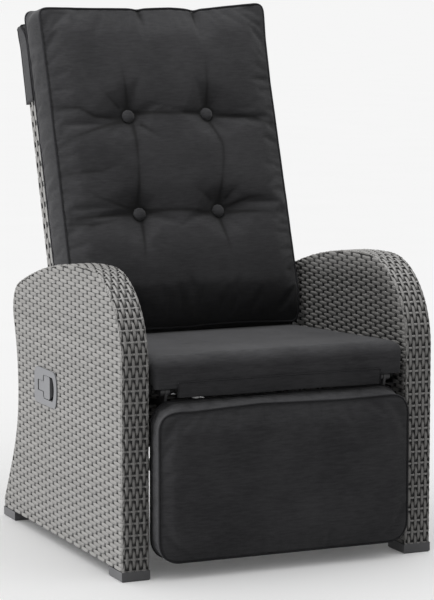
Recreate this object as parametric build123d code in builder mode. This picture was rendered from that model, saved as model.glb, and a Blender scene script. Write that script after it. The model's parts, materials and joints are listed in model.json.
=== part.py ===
from build123d import *
import os
from math import acos, atan2, cos, hypot, pi, radians, sin, tan

# A woven lounge chair that reclines: two arched side panels, a sloping seat frame between
# them, a backrest on two hinge bolts, and a footrest that two push rods raise as the
# backrest goes down. Millimetres, +Z up, the sitter faces -Y, and the origin lies on the
# floor under the middle of the chair. Setbacks are measured rearward from the front of
# the side panels.

# Whole chair
overall_width = 680.0
panel_thickness = 60.0
panel_depth = 690.0
arm_height = 600.0
foot_height = 20.0
front_face_y = -359.0

# Fits that the whole chair shares
running_gap = 0.05
soft_gap = 0.4
plate_gap = 0.5
tube_wall = 1.5
weld_bite = 0.6
cut_overrun = 2.0

# Side panels: woven skin over a flat tube frame, outline points as shares of depth and height
skin = 4.0
rim_radius = 5.0
panel_tube = 20.0
outline_shares = {
    "front_spring": (0.0, 0.698),
    "crown": (0.254, 1.0),
    "shoulder": (0.845, 0.870),
    "bump_top": (0.896, 0.807),
    "bump_foot": (0.896, 0.724),
    "waist": (0.861, 0.466),
    "calf": (0.907, 0.233),
    "heel": (0.997, 0.035),
}

# Feet and their screws
foot_length = 70.0
foot_edge = 2.5
foot_screw_radius = 2.5
foot_screw_head_radius = 5.0
foot_screw_head_depth = 4.0

# Seat frame and woven deck, in a plane that drops towards the back
seat_edge_setback = 54.0
seat_edge_height = 380.0
seat_slope = 3.5
deck_thickness = 4.0
deck_overhang = 5.0
deck_side_gap = 0.5
seat_rail_width = 20.0
seat_rail_height = 30.0
seat_rail_tail = 37.0
cross_rail_depth = 18.0
rear_rail_margin = 110.0
seat_bolt_shares = (0.117, 0.488, 0.742)
seat_bolt_radius = 4.0
seat_bolt_head_radius = 7.0
seat_bolt_head_depth = 5.0

# Rear stretcher between the panels, a tube under a woven wrap
stretcher_depth_share = 0.932
stretcher_height = 94.0
stretcher_tube_radius = 12.0
stretcher_wrap = 3.0

# Woven apron between the panels, behind the linkage: a loop of square tube in its weave
rear_apron_gap = 6.0
rear_apron_drop = 4.0
rear_apron_height = 180.0
rear_apron_tube = 12.0
rear_apron_skin = 3.0
rear_apron_edge = 4.0

# Backrest hinge and the linkage below it
back_hinge_margin = 162.0
back_crank = 60.0
recline_range = 38.0
foot_hinge_setback = 22.0
foot_hinge_drop = 11.0
footrest_range = 76.0
hinge_bolt_radius = 5.0
hinge_bolt_head_radius = 9.0
hinge_bolt_head_depth = 5.0
hinge_bush_radius = 9.0
plate_thickness = 5.0
hinge_bush_length = 17.5
hinge_eye_radius = 14.0
link_pin_radius = 4.0
link_pin_head_radius = 7.0
link_pin_head_depth = 3.0
crank_eye_radius = 9.0
rod_thickness = 5.0
rod_height = 12.0
rod_play = 2.1
rod_rear_eye_radius = 11.0

# Backrest, built in a plane through the hinge that leans back
back_lean = 17.0
back_bottom = 45.0
back_top = 752.0
back_front = 25.0
back_depth = 35.0
back_corner_radius = 58.0
back_rim_radius = 8.0
back_skin = 3.5
back_tube = 22.0
back_slat_distances = (155.0, 310.0, 465.0, 620.0)
back_slat_height = 16.0
back_slat_depth = 8.0
plate_reach = 120.0
plate_knee = 56.0
plate_bolt_distances = (76.0, 108.0)
plate_bolt_radius = 3.0
plate_bolt_head_radius = 5.5
plate_bolt_head_depth = 3.0
plate_foot_radius = 11.0
crossbar_share = 0.6
crossbar_radius = 10.0

# Cloth hood over the top of the backrest
hood_cloth = 2.0
hood_length = 176.0
hood_rim_radius = 4.0

# Back cushion with its buttons: stations are (share of length, of the drawing-in, of the crown)
back_cushion_side_gap = 18.0
back_cushion_bottom = 71.0
back_cushion_overhang = 21.0
back_cushion_front = 106.0
back_cushion_crown = 28.0
back_cushion_drawn_in = 8.0
back_cushion_end_tuck = 8.0
back_cushion_boxing = 3.0
back_station_shares = (
    (0.0, 0.35, 0.12),
    (0.06, 0.0, 0.45),
    (0.28, 0.8, 0.95),
    (0.5, 1.0, 1.0),
    (0.72, 0.8, 0.95),
    (0.94, 0.0, 0.45),
    (1.0, 0.35, 0.12),
)
button_half_spacing = 91.0
button_row_distances = (313.0, 526.5)
button_radius = 14.0
button_height = 7.0
button_side = 2.0
tuft_radius = 46.0
tuft_depth = 22.0
pleat_radius = 20.0
pleat_depth = 8.0

# Seat cushion with the flap that hangs from it: stations are (share of width, of the crown,
# of the side drop)
seat_cushion_side_gap = 7.5
seat_cushion_front_setback = -3.0
seat_cushion_rear_margin = 30.0
seat_cushion_edge = 59.0
seat_cushion_crown = 3.0
seat_cushion_arch = 5.0
seat_cushion_rear_drop = 4.0
seat_cushion_front_radius = 28.0
seat_cushion_lower_radius = 18.0
seat_side_drop = 20.0
seat_side_setback = 12.0
seat_station_shares = (
    (0.0, 0.0, 1.0),
    (0.02, 0.08, 0.25),
    (0.06, 0.25, 0.0),
    (0.25, 0.8, 0.0),
    (0.5, 1.0, 0.0),
    (0.75, 0.8, 0.0),
    (0.94, 0.25, 0.0),
    (0.98, 0.08, 0.25),
    (1.0, 0.0, 1.0),
)
flap_side_margin = 51.5
flap_cloth = 2.5
flap_lap = 7.0
flap_drop = 30.5
flap_slant = 8.0

# Footrest: tube frame, woven shell, arms up to its hinge, and its cushion
footrest_weave_bottom = 40.0
footrest_weave_drop = 41.0
footrest_weave_setback = 18.5
footrest_weave_depth = 24.0
footrest_skin = 2.5
footrest_tube = 18.0
footrest_corner_radius = 30.0
footrest_slat_height = 14.0
footrest_slat_shares = (0.278, 0.556)
arm_bar_reach = 8.0
arm_bar_length = 81.0
arm_bar_radius = 8.0
arm_bolt_drops = (60.0, 33.0)
foot_eye_radius = 10.0
ear_thickness = 4.0
ear_radius = 9.0
footrest_cushion_side_gap = 6.0
footrest_cushion_bottom = 34.0
footrest_cushion_drop = 24.0
footrest_cushion_thickness = 50.0
footrest_cushion_corner = 42.0
footrest_cushion_crown = 7.0
footrest_cushion_edge_radius = 10.0
footrest_station_shares = ((0.0, 0.1), (0.2, 0.85), (0.5, 1.0), (0.8, 0.85), (1.0, 0.1))

# Gas spring between the middle rail and the backrest crossbar
gas_anchor_offset = 13.0
gas_cylinder_radius = 11.0
gas_cylinder_wall = 1.5
gas_cylinder_share = 0.6
gas_rod_radius = 5.0
gas_piston_length = 12.0
gas_rod_inside = 70.0
gas_gland_length = 10.0
gas_eye_radius = 10.0
gas_eye_width = 12.0
gas_eye_neck = 18.0
gas_ear_thickness = 4.0
gas_rear_play = 2.0

# Release lever in the outer face of one panel
lever_depth_share = 0.6
lever_drop = 56.0
bezel_length = 131.0
bezel_height = 76.0
bezel_thickness = 3.0
bezel_rear_radius = 22.0
bezel_front_radius = 12.0
bezel_front_bulge = 9.0
cup_front_margin = 15.0
cup_wide_length = 64.0
cup_wide_height = 50.0
cup_slot_length = 31.0
cup_slot_height = 23.0
cup_depth = 26.0
cup_wall = 2.5
cup_corner = 8.0
paddle_gap = 1.0
paddle_thickness = 4.0
paddle_wide_length = 35.0
paddle_lip = 6.0
paddle_corner = 6.0
lever_pin_radius = 2.0
lever_pin_depth = 6.5
lever_hub_radius = 5.0
lever_pin_end = 7.0
stem_end = 4.0
lever_spring_wire = 0.9
lever_spring_radius = 3.2
lever_spring_turns = 5
lever_spring_pitch = 1.2
lever_spring_room = 9.6
ferrule_radius = 4.0
ferrule_length = 8.0

# Places that follow from the sizes above
panel_inner_x = overall_width / 2 - panel_thickness
plate_outer_x = panel_inner_x - seat_rail_width - hinge_bush_length - plate_gap
plate_inner_x = plate_outer_x - plate_thickness
back_cushion_width = 2 * (panel_inner_x - back_cushion_side_gap)
back_cushion_length = back_top + back_cushion_overhang - back_cushion_bottom
seat_cushion_width = 2 * (panel_inner_x - seat_cushion_side_gap)
footrest_cushion_width = 2 * (panel_inner_x - footrest_cushion_side_gap)
flap_width = seat_cushion_width - 2 * flap_side_margin
back_half_width = plate_outer_x + back_tube + back_skin + soft_gap
footrest_half_width = plate_outer_x + footrest_tube + footrest_skin + soft_gap
weave_height = arm_height - foot_height
slope = radians(seat_slope)
lean = radians(back_lean)
half_recline = radians(recline_range / 2)
half_lift = radians(footrest_range / 2)
back_hinge_setback = panel_depth - back_hinge_margin
back_hinge_distance = (back_hinge_setback - seat_edge_setback) / cos(slope)
seat_rail_length = back_hinge_distance + seat_rail_tail
rear_rail_distance = seat_rail_length - rear_rail_margin
middle_rail_distance = rear_rail_distance / 2
seat_bolt_distances = [seat_rail_length * share for share in seat_bolt_shares]
deck_length = rear_rail_distance + cross_rail_depth + deck_overhang
cushion_front_distance = seat_cushion_front_setback - seat_edge_setback
seat_cushion_length = back_hinge_distance - seat_cushion_rear_margin - cushion_front_distance
gas_anchor_distance = middle_rail_distance + gas_anchor_offset
foot_hinge_height = seat_edge_height - foot_hinge_drop
flap_bottom = seat_edge_height - flap_drop
footrest_weave_top = foot_hinge_height - footrest_weave_drop
footrest_cushion_top = foot_hinge_height - footrest_cushion_drop
arm_bar_top = footrest_weave_top + arm_bar_reach
arm_bar_bottom = arm_bar_top - arm_bar_length
lever_centre_setback = panel_depth * lever_depth_share
lever_centre_height = seat_edge_height - lever_drop


def setback_y(setback):
    return front_face_y + setback


back_hinge_y = setback_y(back_hinge_setback)
back_hinge_z = (
    seat_edge_height
    - deck_thickness
    - seat_rail_height / 2
    - (back_hinge_setback - seat_edge_setback) * tan(slope)
)
foot_hinge_y = setback_y(foot_hinge_setback)
foot_crank = back_crank * sin(half_recline) / sin(half_lift)
back_pin_y = back_hinge_y + back_crank * sin(half_recline)
back_pin_z = back_hinge_z - back_crank * cos(half_recline)
foot_pin_y = foot_hinge_y + foot_crank * sin(half_lift)
foot_pin_z = foot_hinge_height - foot_crank * cos(half_lift)
foot_sag = foot_crank * (1 - cos(half_lift))
back_sag = back_crank * (1 - cos(half_recline))
rod_eye_lift = (foot_sag - back_sag) / 2
gas_line_z = back_pin_z - back_sag / 2

seat_plane = Plane(
    origin=(0, setback_y(seat_edge_setback), seat_edge_height),
    x_dir=(1, 0, 0),
    z_dir=(0, sin(slope), cos(slope)),
)
back_plane = Plane(
    origin=(0, back_hinge_y, back_hinge_z),
    x_dir=(1, 0, 0),
    z_dir=(0, -cos(lean), sin(lean)),
)


# Shared helpers
def side_start(side, inner, thickness):
    """Lowest X of a slab that starts at inner on the +X side, or its mirror image."""
    return inner if side > 0 else -(inner + thickness)


def side_name(side):
    return "right" if side > 0 else "left"


def round_face(x, y, z, radius):
    with BuildSketch(Plane.YZ.offset(x)) as face:
        with Locations((y, z)):
            Circle(radius)
    return face.sketch


def link_face(x, eyes, bores=()):
    """Flat link in the plane X = x: round eyes (y, z, radius) joined by tangent flanks."""
    with BuildSketch(Plane.YZ.offset(x)) as face:
        for y, z, radius in eyes:
            with Locations((y, z)):
                Circle(radius)
        for (ya, za, ra), (yb, zb, rb) in zip(eyes, eyes[1:]):
            along = atan2(zb - za, yb - ya)
            spread = acos((ra - rb) / hypot(yb - ya, zb - za))
            corners = []
            for y, z, radius, turn in (
                (ya, za, ra, spread),
                (yb, zb, rb, spread),
                (yb, zb, rb, -spread),
                (ya, za, ra, -spread),
            ):
                corners.append((y + radius * cos(along + turn), z + radius * sin(along + turn)))
            Polygon(*corners, align=None)
        for y, z, radius in bores:
            with Locations((y, z)):
                Circle(radius, mode=Mode.SUBTRACT)
    return face.sketch


def panel_point(name):
    depth_share, height_share = outline_shares[name]
    return (front_face_y + panel_depth * depth_share, foot_height + weave_height * height_share)


def panel_face(x, inset):
    """The arched outline of a side panel in the plane X = x, drawn in by inset."""
    heel_y, heel_z = panel_point("heel")
    with BuildSketch(Plane.YZ.offset(x)) as face:
        with BuildLine():
            front = Line((front_face_y, foot_height), panel_point("front_spring"))
            arch = TangentArc(front @ 1, panel_point("crown"), tangent=front % 1)
            arm = TangentArc(arch @ 1, panel_point("shoulder"), tangent=arch % 1)
            turn = TangentArc(arm @ 1, panel_point("bump_top"), tangent=arm % 1)
            bump = TangentArc(turn @ 1, panel_point("bump_foot"), tangent=turn % 1)
            back = TangentArc(bump @ 1, panel_point("waist"), tangent=bump % 1)
            calf = TangentArc(back @ 1, panel_point("calf"), tangent=back % 1)
            heel = TangentArc(calf @ 1, (heel_y, heel_z), tangent=calf % 1)
            Line(heel @ 1, (heel_y, foot_height))
            Line((heel_y, foot_height), (front_face_y, foot_height))
        make_face()
        if inset:
            offset(amount=-inset, kind=Kind.INTERSECTION)
    return face.sketch


def finish_piece(piece, name):
    piece.part.label = name
    export_step(piece.part, os.path.join("parts", name + ".step"))


os.makedirs("parts", exist_ok=True)

heel_y = panel_point("heel")[0]
foot_centres_y = (
    front_face_y + foot_length / 2,
    heel_y - foot_length / 2,
)
panel_tube_bottom = foot_height + skin


# Release lever outlines, in the plane of the outer face of the panel at the sitter's right
def lever_face(x, length_front, length_rear, height, front_bulge, corner):
    """D-shaped outline about the lever's centre, its bulging side towards the front."""
    front_y = setback_y(lever_centre_setback) - length_front
    rear_y = setback_y(lever_centre_setback) + length_rear
    low, high = lever_centre_height - height / 2, lever_centre_height + height / 2
    with BuildSketch(Plane.YZ.offset(x)) as face:
        with BuildLine():
            Line((rear_y, low), (rear_y, high))
            Line((rear_y, high), (front_y + front_bulge, high))
            ThreePointArc(
                (front_y + front_bulge, high),
                (front_y, lever_centre_height),
                (front_y + front_bulge, low),
            )
            Line((front_y + front_bulge, low), (rear_y, low))
        make_face()
        rear_corners = face.vertices().group_by(Axis.Y)[-1]
        fillet(rear_corners, radius=corner)
        front_corners = face.vertices().sort_by(Axis.Y)[:2]
        fillet(front_corners, radius=min(corner, bezel_front_radius))
    return face.sketch


def cup_face(x, grow):
    """Opening of the lever cup: a wide finger space with a narrow slot behind it, grown by grow."""
    front_y = setback_y(lever_centre_setback) - bezel_length / 2 + cup_front_margin
    wide_rear_y = front_y + cup_wide_length
    slot_rear_y = wide_rear_y + cup_slot_length
    with BuildSketch(Plane.YZ.offset(x)) as face:
        with BuildLine():
            high = lever_centre_height + cup_wide_height / 2
            low = lever_centre_height - cup_wide_height / 2
            Line((wide_rear_y, low), (wide_rear_y, high))
            Line((wide_rear_y, high), (front_y + bezel_front_bulge, high))
            ThreePointArc(
                (front_y + bezel_front_bulge, high),
                (front_y, lever_centre_height),
                (front_y + bezel_front_bulge, low),
            )
            Line((front_y + bezel_front_bulge, low), (wide_rear_y, low))
        make_face()
        fillet(face.vertices(), radius=cup_corner)
        with Locations(((wide_rear_y + slot_rear_y) / 2 - cup_corner / 2, lever_centre_height)):
            Rectangle(cup_slot_length + cup_corner, cup_slot_height)
        if grow:
            offset(amount=grow, kind=Kind.INTERSECTION)
    return face.sketch


outer_face_x = overall_width / 2
cup_floor_x = -(outer_face_x - cup_depth)

# Woven skins of the side panels, open below where the frame's bottom tube closes them
for side in (-1, 1):
    start_x = side_start(side, panel_inner_x, panel_thickness)
    outer_faces = panel_face(start_x, 0)
    inner_faces = panel_face(start_x + skin, skin)
    with BuildPart() as side_weave:
        extrude(outer_faces, amount=panel_thickness)
        rims = side_weave.edges().filter_by(
            lambda edge: abs(edge.center().X - start_x) < running_gap
            or abs(edge.center().X - start_x - panel_thickness) < running_gap
        )
        low_rims = rims.filter_by(lambda edge: edge.center().Z < foot_height + running_gap)
        fillet([edge for edge in rims if edge not in low_rims], radius=rim_radius)
        extrude(inner_faces, amount=panel_thickness - 2 * skin, mode=Mode.SUBTRACT)
        with Locations(((start_x + panel_thickness / 2), (front_face_y + heel_y) / 2, foot_height)):
            Box(
                panel_thickness - 2 * skin,
                heel_y - front_face_y - 2 * skin,
                2 * skin + cut_overrun,
                mode=Mode.SUBTRACT,
            )
        for distance in seat_bolt_distances:
            with Locations(seat_plane.offset(-deck_thickness - seat_rail_height / 2)):
                with Locations((side * (panel_inner_x + skin / 2), distance, 0)):
                    Cylinder(
                        seat_bolt_radius + running_gap,
                        skin + 2 * cut_overrun,
                        rotation=(0, 90, 0),
                        mode=Mode.SUBTRACT,
                    )
        if side < 0:
            extrude(
                cup_face(-outer_face_x - cut_overrun, cup_wall + plate_gap),
                amount=skin + 2 * cut_overrun,
                mode=Mode.SUBTRACT,
            )
    finish_piece(side_weave, "side_weave_" + side_name(side))

# Tube frames inside the panels: a flat tube bent to the outline and a middle rail
for side in (-1, 1):
    start_x = side_start(side, panel_inner_x + skin, panel_thickness - 2 * skin)
    frame_width = panel_thickness - 2 * skin
    outside = panel_face(start_x, skin)
    outside_hollow = panel_face(start_x + tube_wall, skin + tube_wall)
    inside_wall = panel_face(start_x + tube_wall, skin + panel_tube - tube_wall)
    inside = panel_face(start_x, skin + panel_tube)
    rail_front = front_face_y + skin + panel_tube / 2
    rail_rear = panel_point("waist")[0] - skin - panel_tube / 2
    rail_length = (rail_rear - rail_front) / cos(slope)
    rail_mid = ((rail_front + rail_rear) / 2 - setback_y(seat_edge_setback)) / cos(slope)
    rail_centre_x = side * (panel_inner_x + skin + panel_tube / 2)
    rail_drop = deck_thickness + seat_rail_height / 2
    with BuildPart() as side_frame:
        extrude(outside, amount=frame_width)
        extrude(outside_hollow, amount=frame_width - 2 * tube_wall, mode=Mode.SUBTRACT)
        extrude(inside_wall, amount=frame_width - 2 * tube_wall)
        extrude(inside, amount=frame_width, mode=Mode.SUBTRACT)
        with Locations(seat_plane):
            with Locations((rail_centre_x, rail_mid, -rail_drop)):
                Box(panel_tube, rail_length, panel_tube)
        with Locations(seat_plane):
            with Locations((rail_centre_x, rail_mid, -rail_drop)):
                Box(
                    panel_tube - 2 * tube_wall,
                    rail_length,
                    panel_tube - 2 * tube_wall,
                    mode=Mode.SUBTRACT,
                )
            for distance in seat_bolt_distances:
                with Locations((rail_centre_x, distance, -rail_drop)):
                    Cylinder(
                        seat_bolt_radius + running_gap,
                        panel_tube + cut_overrun,
                        rotation=(0, 90, 0),
                        mode=Mode.SUBTRACT,
                    )
        for foot_y in foot_centres_y:
            with Locations((start_x + frame_width / 2, foot_y, panel_tube_bottom)):
                Cylinder(
                    foot_screw_radius + running_gap,
                    2 * tube_wall + cut_overrun,
                    mode=Mode.SUBTRACT,
                )
    finish_piece(side_frame, "side_frame_" + side_name(side))

# Feet: plastic caps with a pad that fills the opening of the skin, up to the bottom tube
for side in (-1, 1):
    for place, foot_y, bare_end in (
        ("front", foot_centres_y[0], -1),
        ("rear", foot_centres_y[1], 1),
    ):
        centre_x = side * (panel_inner_x + panel_thickness / 2)
        pad_length = foot_length - skin - soft_gap
        pad_y = foot_y - bare_end * (skin + soft_gap) / 2
        with BuildPart() as foot:
            with Locations((centre_x, foot_y, foot_height / 2)):
                Box(panel_thickness, foot_length, foot_height)
            chamfer(foot.edges().group_by(Axis.Z)[0], length=foot_edge)
            with Locations((centre_x, pad_y, foot_height + skin / 2)):
                Box(panel_thickness - 2 * (skin + soft_gap), pad_length, skin)
            with Locations((centre_x, foot_y, foot_height / 2)):
                Cylinder(foot_screw_radius + running_gap, foot_height * 2, mode=Mode.SUBTRACT)
            with Locations((centre_x, foot_y, foot_screw_head_depth)):
                Cylinder(
                    foot_screw_head_radius + running_gap,
                    2 * foot_screw_head_depth,
                    mode=Mode.SUBTRACT,
                )
        finish_piece(foot, "foot_" + place + "_" + side_name(side))

with BuildPart() as foot_screws:
    for side in (-1, 1):
        for foot_y in foot_centres_y:
            centre_x = side * (panel_inner_x + panel_thickness / 2)
            top = panel_tube_bottom + 2 * tube_wall
            head_low = foot_screw_head_depth
            with Locations((centre_x, foot_y, head_low)):
                Cylinder(
                    foot_screw_head_radius,
                    foot_screw_head_depth,
                    align=(Align.CENTER, Align.CENTER, Align.MIN),
                )
                Cylinder(
                    foot_screw_radius,
                    top - head_low,
                    align=(Align.CENTER, Align.CENTER, Align.MIN),
                )
finish_piece(foot_screws, "foot_screws")

# Rear stretcher: a round tube from panel to panel and the woven wrap round it
stretcher_y = setback_y(panel_depth * stretcher_depth_share)
for radius, bore, name in (
    (stretcher_tube_radius, stretcher_tube_radius - tube_wall, "rear_stretcher"),
    (stretcher_tube_radius + stretcher_wrap, stretcher_tube_radius, "rear_stretcher_wrap"),
):
    solid_face = round_face(-panel_inner_x, stretcher_y, stretcher_height, radius)
    bore_face = round_face(-panel_inner_x, stretcher_y, stretcher_height, bore)
    with BuildPart() as stretcher:
        extrude(solid_face, amount=2 * panel_inner_x)
        extrude(bore_face, amount=2 * panel_inner_x, mode=Mode.SUBTRACT)
    finish_piece(stretcher, name)

# Rear apron: its tube loop, and the woven sleeve round it from panel to panel
rear_apron_depth = rear_apron_tube + 2 * rear_apron_skin
rear_apron_y = back_hinge_y + seat_rail_tail + rear_apron_gap + rear_apron_depth / 2
rear_apron_z = back_hinge_z - rear_apron_drop - rear_apron_height / 2
loop_height = rear_apron_height - 2 * rear_apron_skin
with BuildPart() as apron_frame:
    with Locations((0, rear_apron_y, rear_apron_z)):
        for inset, depth, mode in (
            (0, rear_apron_tube, Mode.ADD),
            (tube_wall, rear_apron_tube - 2 * tube_wall, Mode.SUBTRACT),
            (rear_apron_tube - tube_wall, rear_apron_tube - 2 * tube_wall, Mode.ADD),
            (rear_apron_tube, rear_apron_tube, Mode.SUBTRACT),
        ):
            Box(2 * (panel_inner_x - inset), depth, loop_height - 2 * inset, mode=mode)
finish_piece(apron_frame, "rear_apron_frame")
with BuildPart() as apron_weave:
    with Locations((0, rear_apron_y, rear_apron_z)):
        Box(2 * panel_inner_x, rear_apron_depth, rear_apron_height)
    fillet(apron_weave.edges().filter_by(Axis.X), radius=rear_apron_edge)
    with Locations((0, rear_apron_y, rear_apron_z)):
        Box(2 * panel_inner_x, rear_apron_tube, loop_height, mode=Mode.SUBTRACT)
finish_piece(apron_weave, "rear_apron_weave")

# Seat frame: two side rails, three cross rails, the footrest's hinge ears, and the gas
# spring's ears under the middle rail
ear_x = plate_outer_x + plate_gap
rail_span = 2 * panel_inner_x - 2 * seat_rail_width
gas_anchor_y = (seat_plane * Location((0, gas_anchor_distance, 0))).position.Y
gas_ear_inner = gas_eye_width / 2 + plate_gap
gas_ear_top = seat_edge_height - gas_anchor_distance * tan(slope) - deck_thickness - seat_rail_height / 2
cross_rails = (
    (cross_rail_depth / 2, cross_rail_depth),
    (middle_rail_distance + cross_rail_depth / 2, seat_rail_height),
    (rear_rail_distance + cross_rail_depth / 2, seat_rail_height),
)
ear_faces = []
for side in (-1, 1):
    ear_faces.append(
        link_face(
            side_start(side, ear_x, ear_thickness),
            (
                (foot_hinge_y, foot_hinge_height, ear_radius),
                (
                    setback_y(seat_edge_setback) + cross_rail_depth / 2,
                    seat_edge_height - deck_thickness - cross_rail_depth / 2,
                    cross_rail_depth / 2 - 2 * weld_bite,
                ),
            ),
            ((foot_hinge_y, foot_hinge_height, hinge_bolt_radius + running_gap),),
        )
    )
gas_ear_faces = []
for side in (-1, 1):
    gas_ear_faces.append(
        link_face(
            side_start(side, gas_ear_inner, gas_ear_thickness),
            (
                (gas_anchor_y, gas_ear_top, crank_eye_radius),
                (gas_anchor_y, gas_line_z, crank_eye_radius),
            ),
            ((gas_anchor_y, gas_line_z, link_pin_radius + running_gap),),
        )
    )
with BuildPart() as seat_frame:
    with Locations(seat_plane):
        for side in (-1, 1):
            rail_x = side * (panel_inner_x - seat_rail_width / 2)
            rail_z = -deck_thickness - seat_rail_height / 2
            with Locations((rail_x, seat_rail_length / 2, rail_z)):
                Box(seat_rail_width, seat_rail_length, seat_rail_height)
        for distance, height in cross_rails:
            with Locations((0, distance, -deck_thickness - height / 2)):
                Box(rail_span, cross_rail_depth, height)
        for side in (-1, 1):
            rail_x = side * (panel_inner_x - seat_rail_width / 2)
            with Locations((rail_x, seat_rail_length / 2, rail_z)):
                Box(
                    seat_rail_width - 2 * tube_wall,
                    seat_rail_length,
                    seat_rail_height - 2 * tube_wall,
                    mode=Mode.SUBTRACT,
                )
            for bolt_distance in seat_bolt_distances:
                with Locations((rail_x, bolt_distance, rail_z)):
                    Cylinder(
                        seat_bolt_radius + running_gap,
                        seat_rail_width + cut_overrun,
                        rotation=(0, 90, 0),
                        mode=Mode.SUBTRACT,
                    )
        for distance, height in cross_rails:
            with Locations((0, distance, -deck_thickness - height / 2)):
                Box(
                    rail_span + 2 * cut_overrun,
                    cross_rail_depth - 2 * tube_wall,
                    height - 2 * tube_wall,
                    mode=Mode.SUBTRACT,
                )
    for ear_face in ear_faces:
        extrude(ear_face, amount=ear_thickness)
    for gas_ear_face in gas_ear_faces:
        extrude(gas_ear_face, amount=gas_ear_thickness)
    for side in (-1, 1):
        rail_start = side_start(side, panel_inner_x - seat_rail_width, seat_rail_width)
        with Locations((rail_start + seat_rail_width / 2, back_hinge_y, back_hinge_z)):
            Cylinder(
                hinge_bolt_radius + running_gap,
                seat_rail_width + cut_overrun,
                rotation=(0, 90, 0),
                mode=Mode.SUBTRACT,
            )
finish_piece(seat_frame, "seat_frame")

# Woven seat deck over the rails, turned down over the front rail and slotted for the ears
deck_half_width = panel_inner_x - deck_side_gap
apron_height = cross_rail_depth + deck_thickness
with BuildPart() as seat_deck:
    with Locations(seat_plane):
        with Locations((0, (deck_length - deck_thickness) / 2, -deck_thickness / 2)):
            Box(2 * deck_half_width, deck_length + deck_thickness, deck_thickness)
        with Locations((0, -deck_thickness / 2, -apron_height / 2)):
            Box(2 * deck_half_width, deck_thickness, apron_height)
        for side in (-1, 1):
            with Locations((side * (ear_x + ear_thickness / 2), -deck_thickness / 2, -apron_height / 2)):
                Box(
                    ear_thickness + 2 * plate_gap,
                    deck_thickness + cut_overrun,
                    apron_height + cut_overrun,
                    mode=Mode.SUBTRACT,
                )
finish_piece(seat_deck, "seat_deck_weave")

# Bolts from the side rails into the panel frames
with BuildPart() as seat_bolts:
    with Locations(seat_plane):
        for side in (-1, 1):
            for distance in seat_bolt_distances:
                inner_x = panel_inner_x - seat_rail_width
                shank = seat_rail_width + skin + panel_tube
                with Locations((side * (inner_x + shank / 2), distance, rail_z)):
                    Cylinder(seat_bolt_radius, shank, rotation=(0, 90, 0))
                with Locations((side * (inner_x - seat_bolt_head_depth / 2), distance, rail_z)):
                    Cylinder(seat_bolt_head_radius, seat_bolt_head_depth, rotation=(0, 90, 0))
finish_piece(seat_bolts, "seat_frame_bolts")


def cross_bolts(name, y, z, head_x, head_depth, head_radius, shank_end_x, shank_radius, nut_x):
    """One bolt per side along X, its head towards the middle of the chair, and a nut if any."""
    with BuildPart() as bolts:
        for side in (-1, 1):
            shank = shank_end_x - head_x
            with Locations((side * (head_x + shank / 2), y, z)):
                Cylinder(shank_radius, shank, rotation=(0, 90, 0))
            with Locations((side * (head_x - head_depth / 2), y, z)):
                Cylinder(head_radius, head_depth, rotation=(0, 90, 0))
            if nut_x:
                with Locations((side * (nut_x + head_depth / 2), y, z)):
                    Cylinder(head_radius, head_depth, rotation=(0, 90, 0))
    finish_piece(bolts, name)


def bolt_bores(places):
    """Bores for the plate bolts at (y, z), through the tube wall beside each plate."""
    with BuildPart() as bores:
        for side in (-1, 1):
            for y, z in places:
                with Locations((side * (plate_outer_x + tube_wall / 2), y, z)):
                    Cylinder(
                        plate_bolt_radius + running_gap,
                        tube_wall + cut_overrun,
                        rotation=(0, 90, 0),
                    )
    return bores.part


def plate_bolts(name, places):
    """Bolts at (y, z) that hold a pair of plates to the tube walls beside them."""
    with BuildPart() as bolts:
        for side in (-1, 1):
            for y, z in places:
                shank = plate_thickness + 2 * tube_wall
                with Locations((side * (plate_inner_x + shank / 2), y, z)):
                    Cylinder(plate_bolt_radius, shank, rotation=(0, 90, 0))
                head_x = side * (plate_inner_x - plate_bolt_head_depth / 2)
                with Locations((head_x, y, z)):
                    Cylinder(plate_bolt_head_radius, plate_bolt_head_depth, rotation=(0, 90, 0))
    finish_piece(bolts, name)


cross_bolts(
    "back_hinge_bolts",
    back_hinge_y,
    back_hinge_z,
    plate_inner_x - plate_gap,
    hinge_bolt_head_depth,
    hinge_bolt_head_radius,
    panel_inner_x,
    hinge_bolt_radius,
    None,
)
ear_outer_x = ear_x + ear_thickness
cross_bolts(
    "footrest_hinge_bolts",
    foot_hinge_y,
    foot_hinge_height,
    plate_inner_x - plate_gap,
    hinge_bolt_head_depth,
    ear_radius,
    ear_outer_x + hinge_bolt_head_depth,
    hinge_bolt_radius,
    ear_outer_x,
)
with BuildPart() as hinge_bushes:
    for side in (-1, 1):
        bush_inner = plate_outer_x + plate_gap
        bush_outer = panel_inner_x - seat_rail_width
        bush_x = side * (bush_inner + bush_outer) / 2
        with Locations((bush_x, back_hinge_y, back_hinge_z)):
            Cylinder(hinge_bush_radius, bush_outer - bush_inner, rotation=(0, 90, 0))
            Cylinder(
                hinge_bolt_radius + running_gap,
                bush_outer - bush_inner,
                rotation=(0, 90, 0),
                mode=Mode.SUBTRACT,
            )
finish_piece(hinge_bushes, "back_hinge_bushes")

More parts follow.
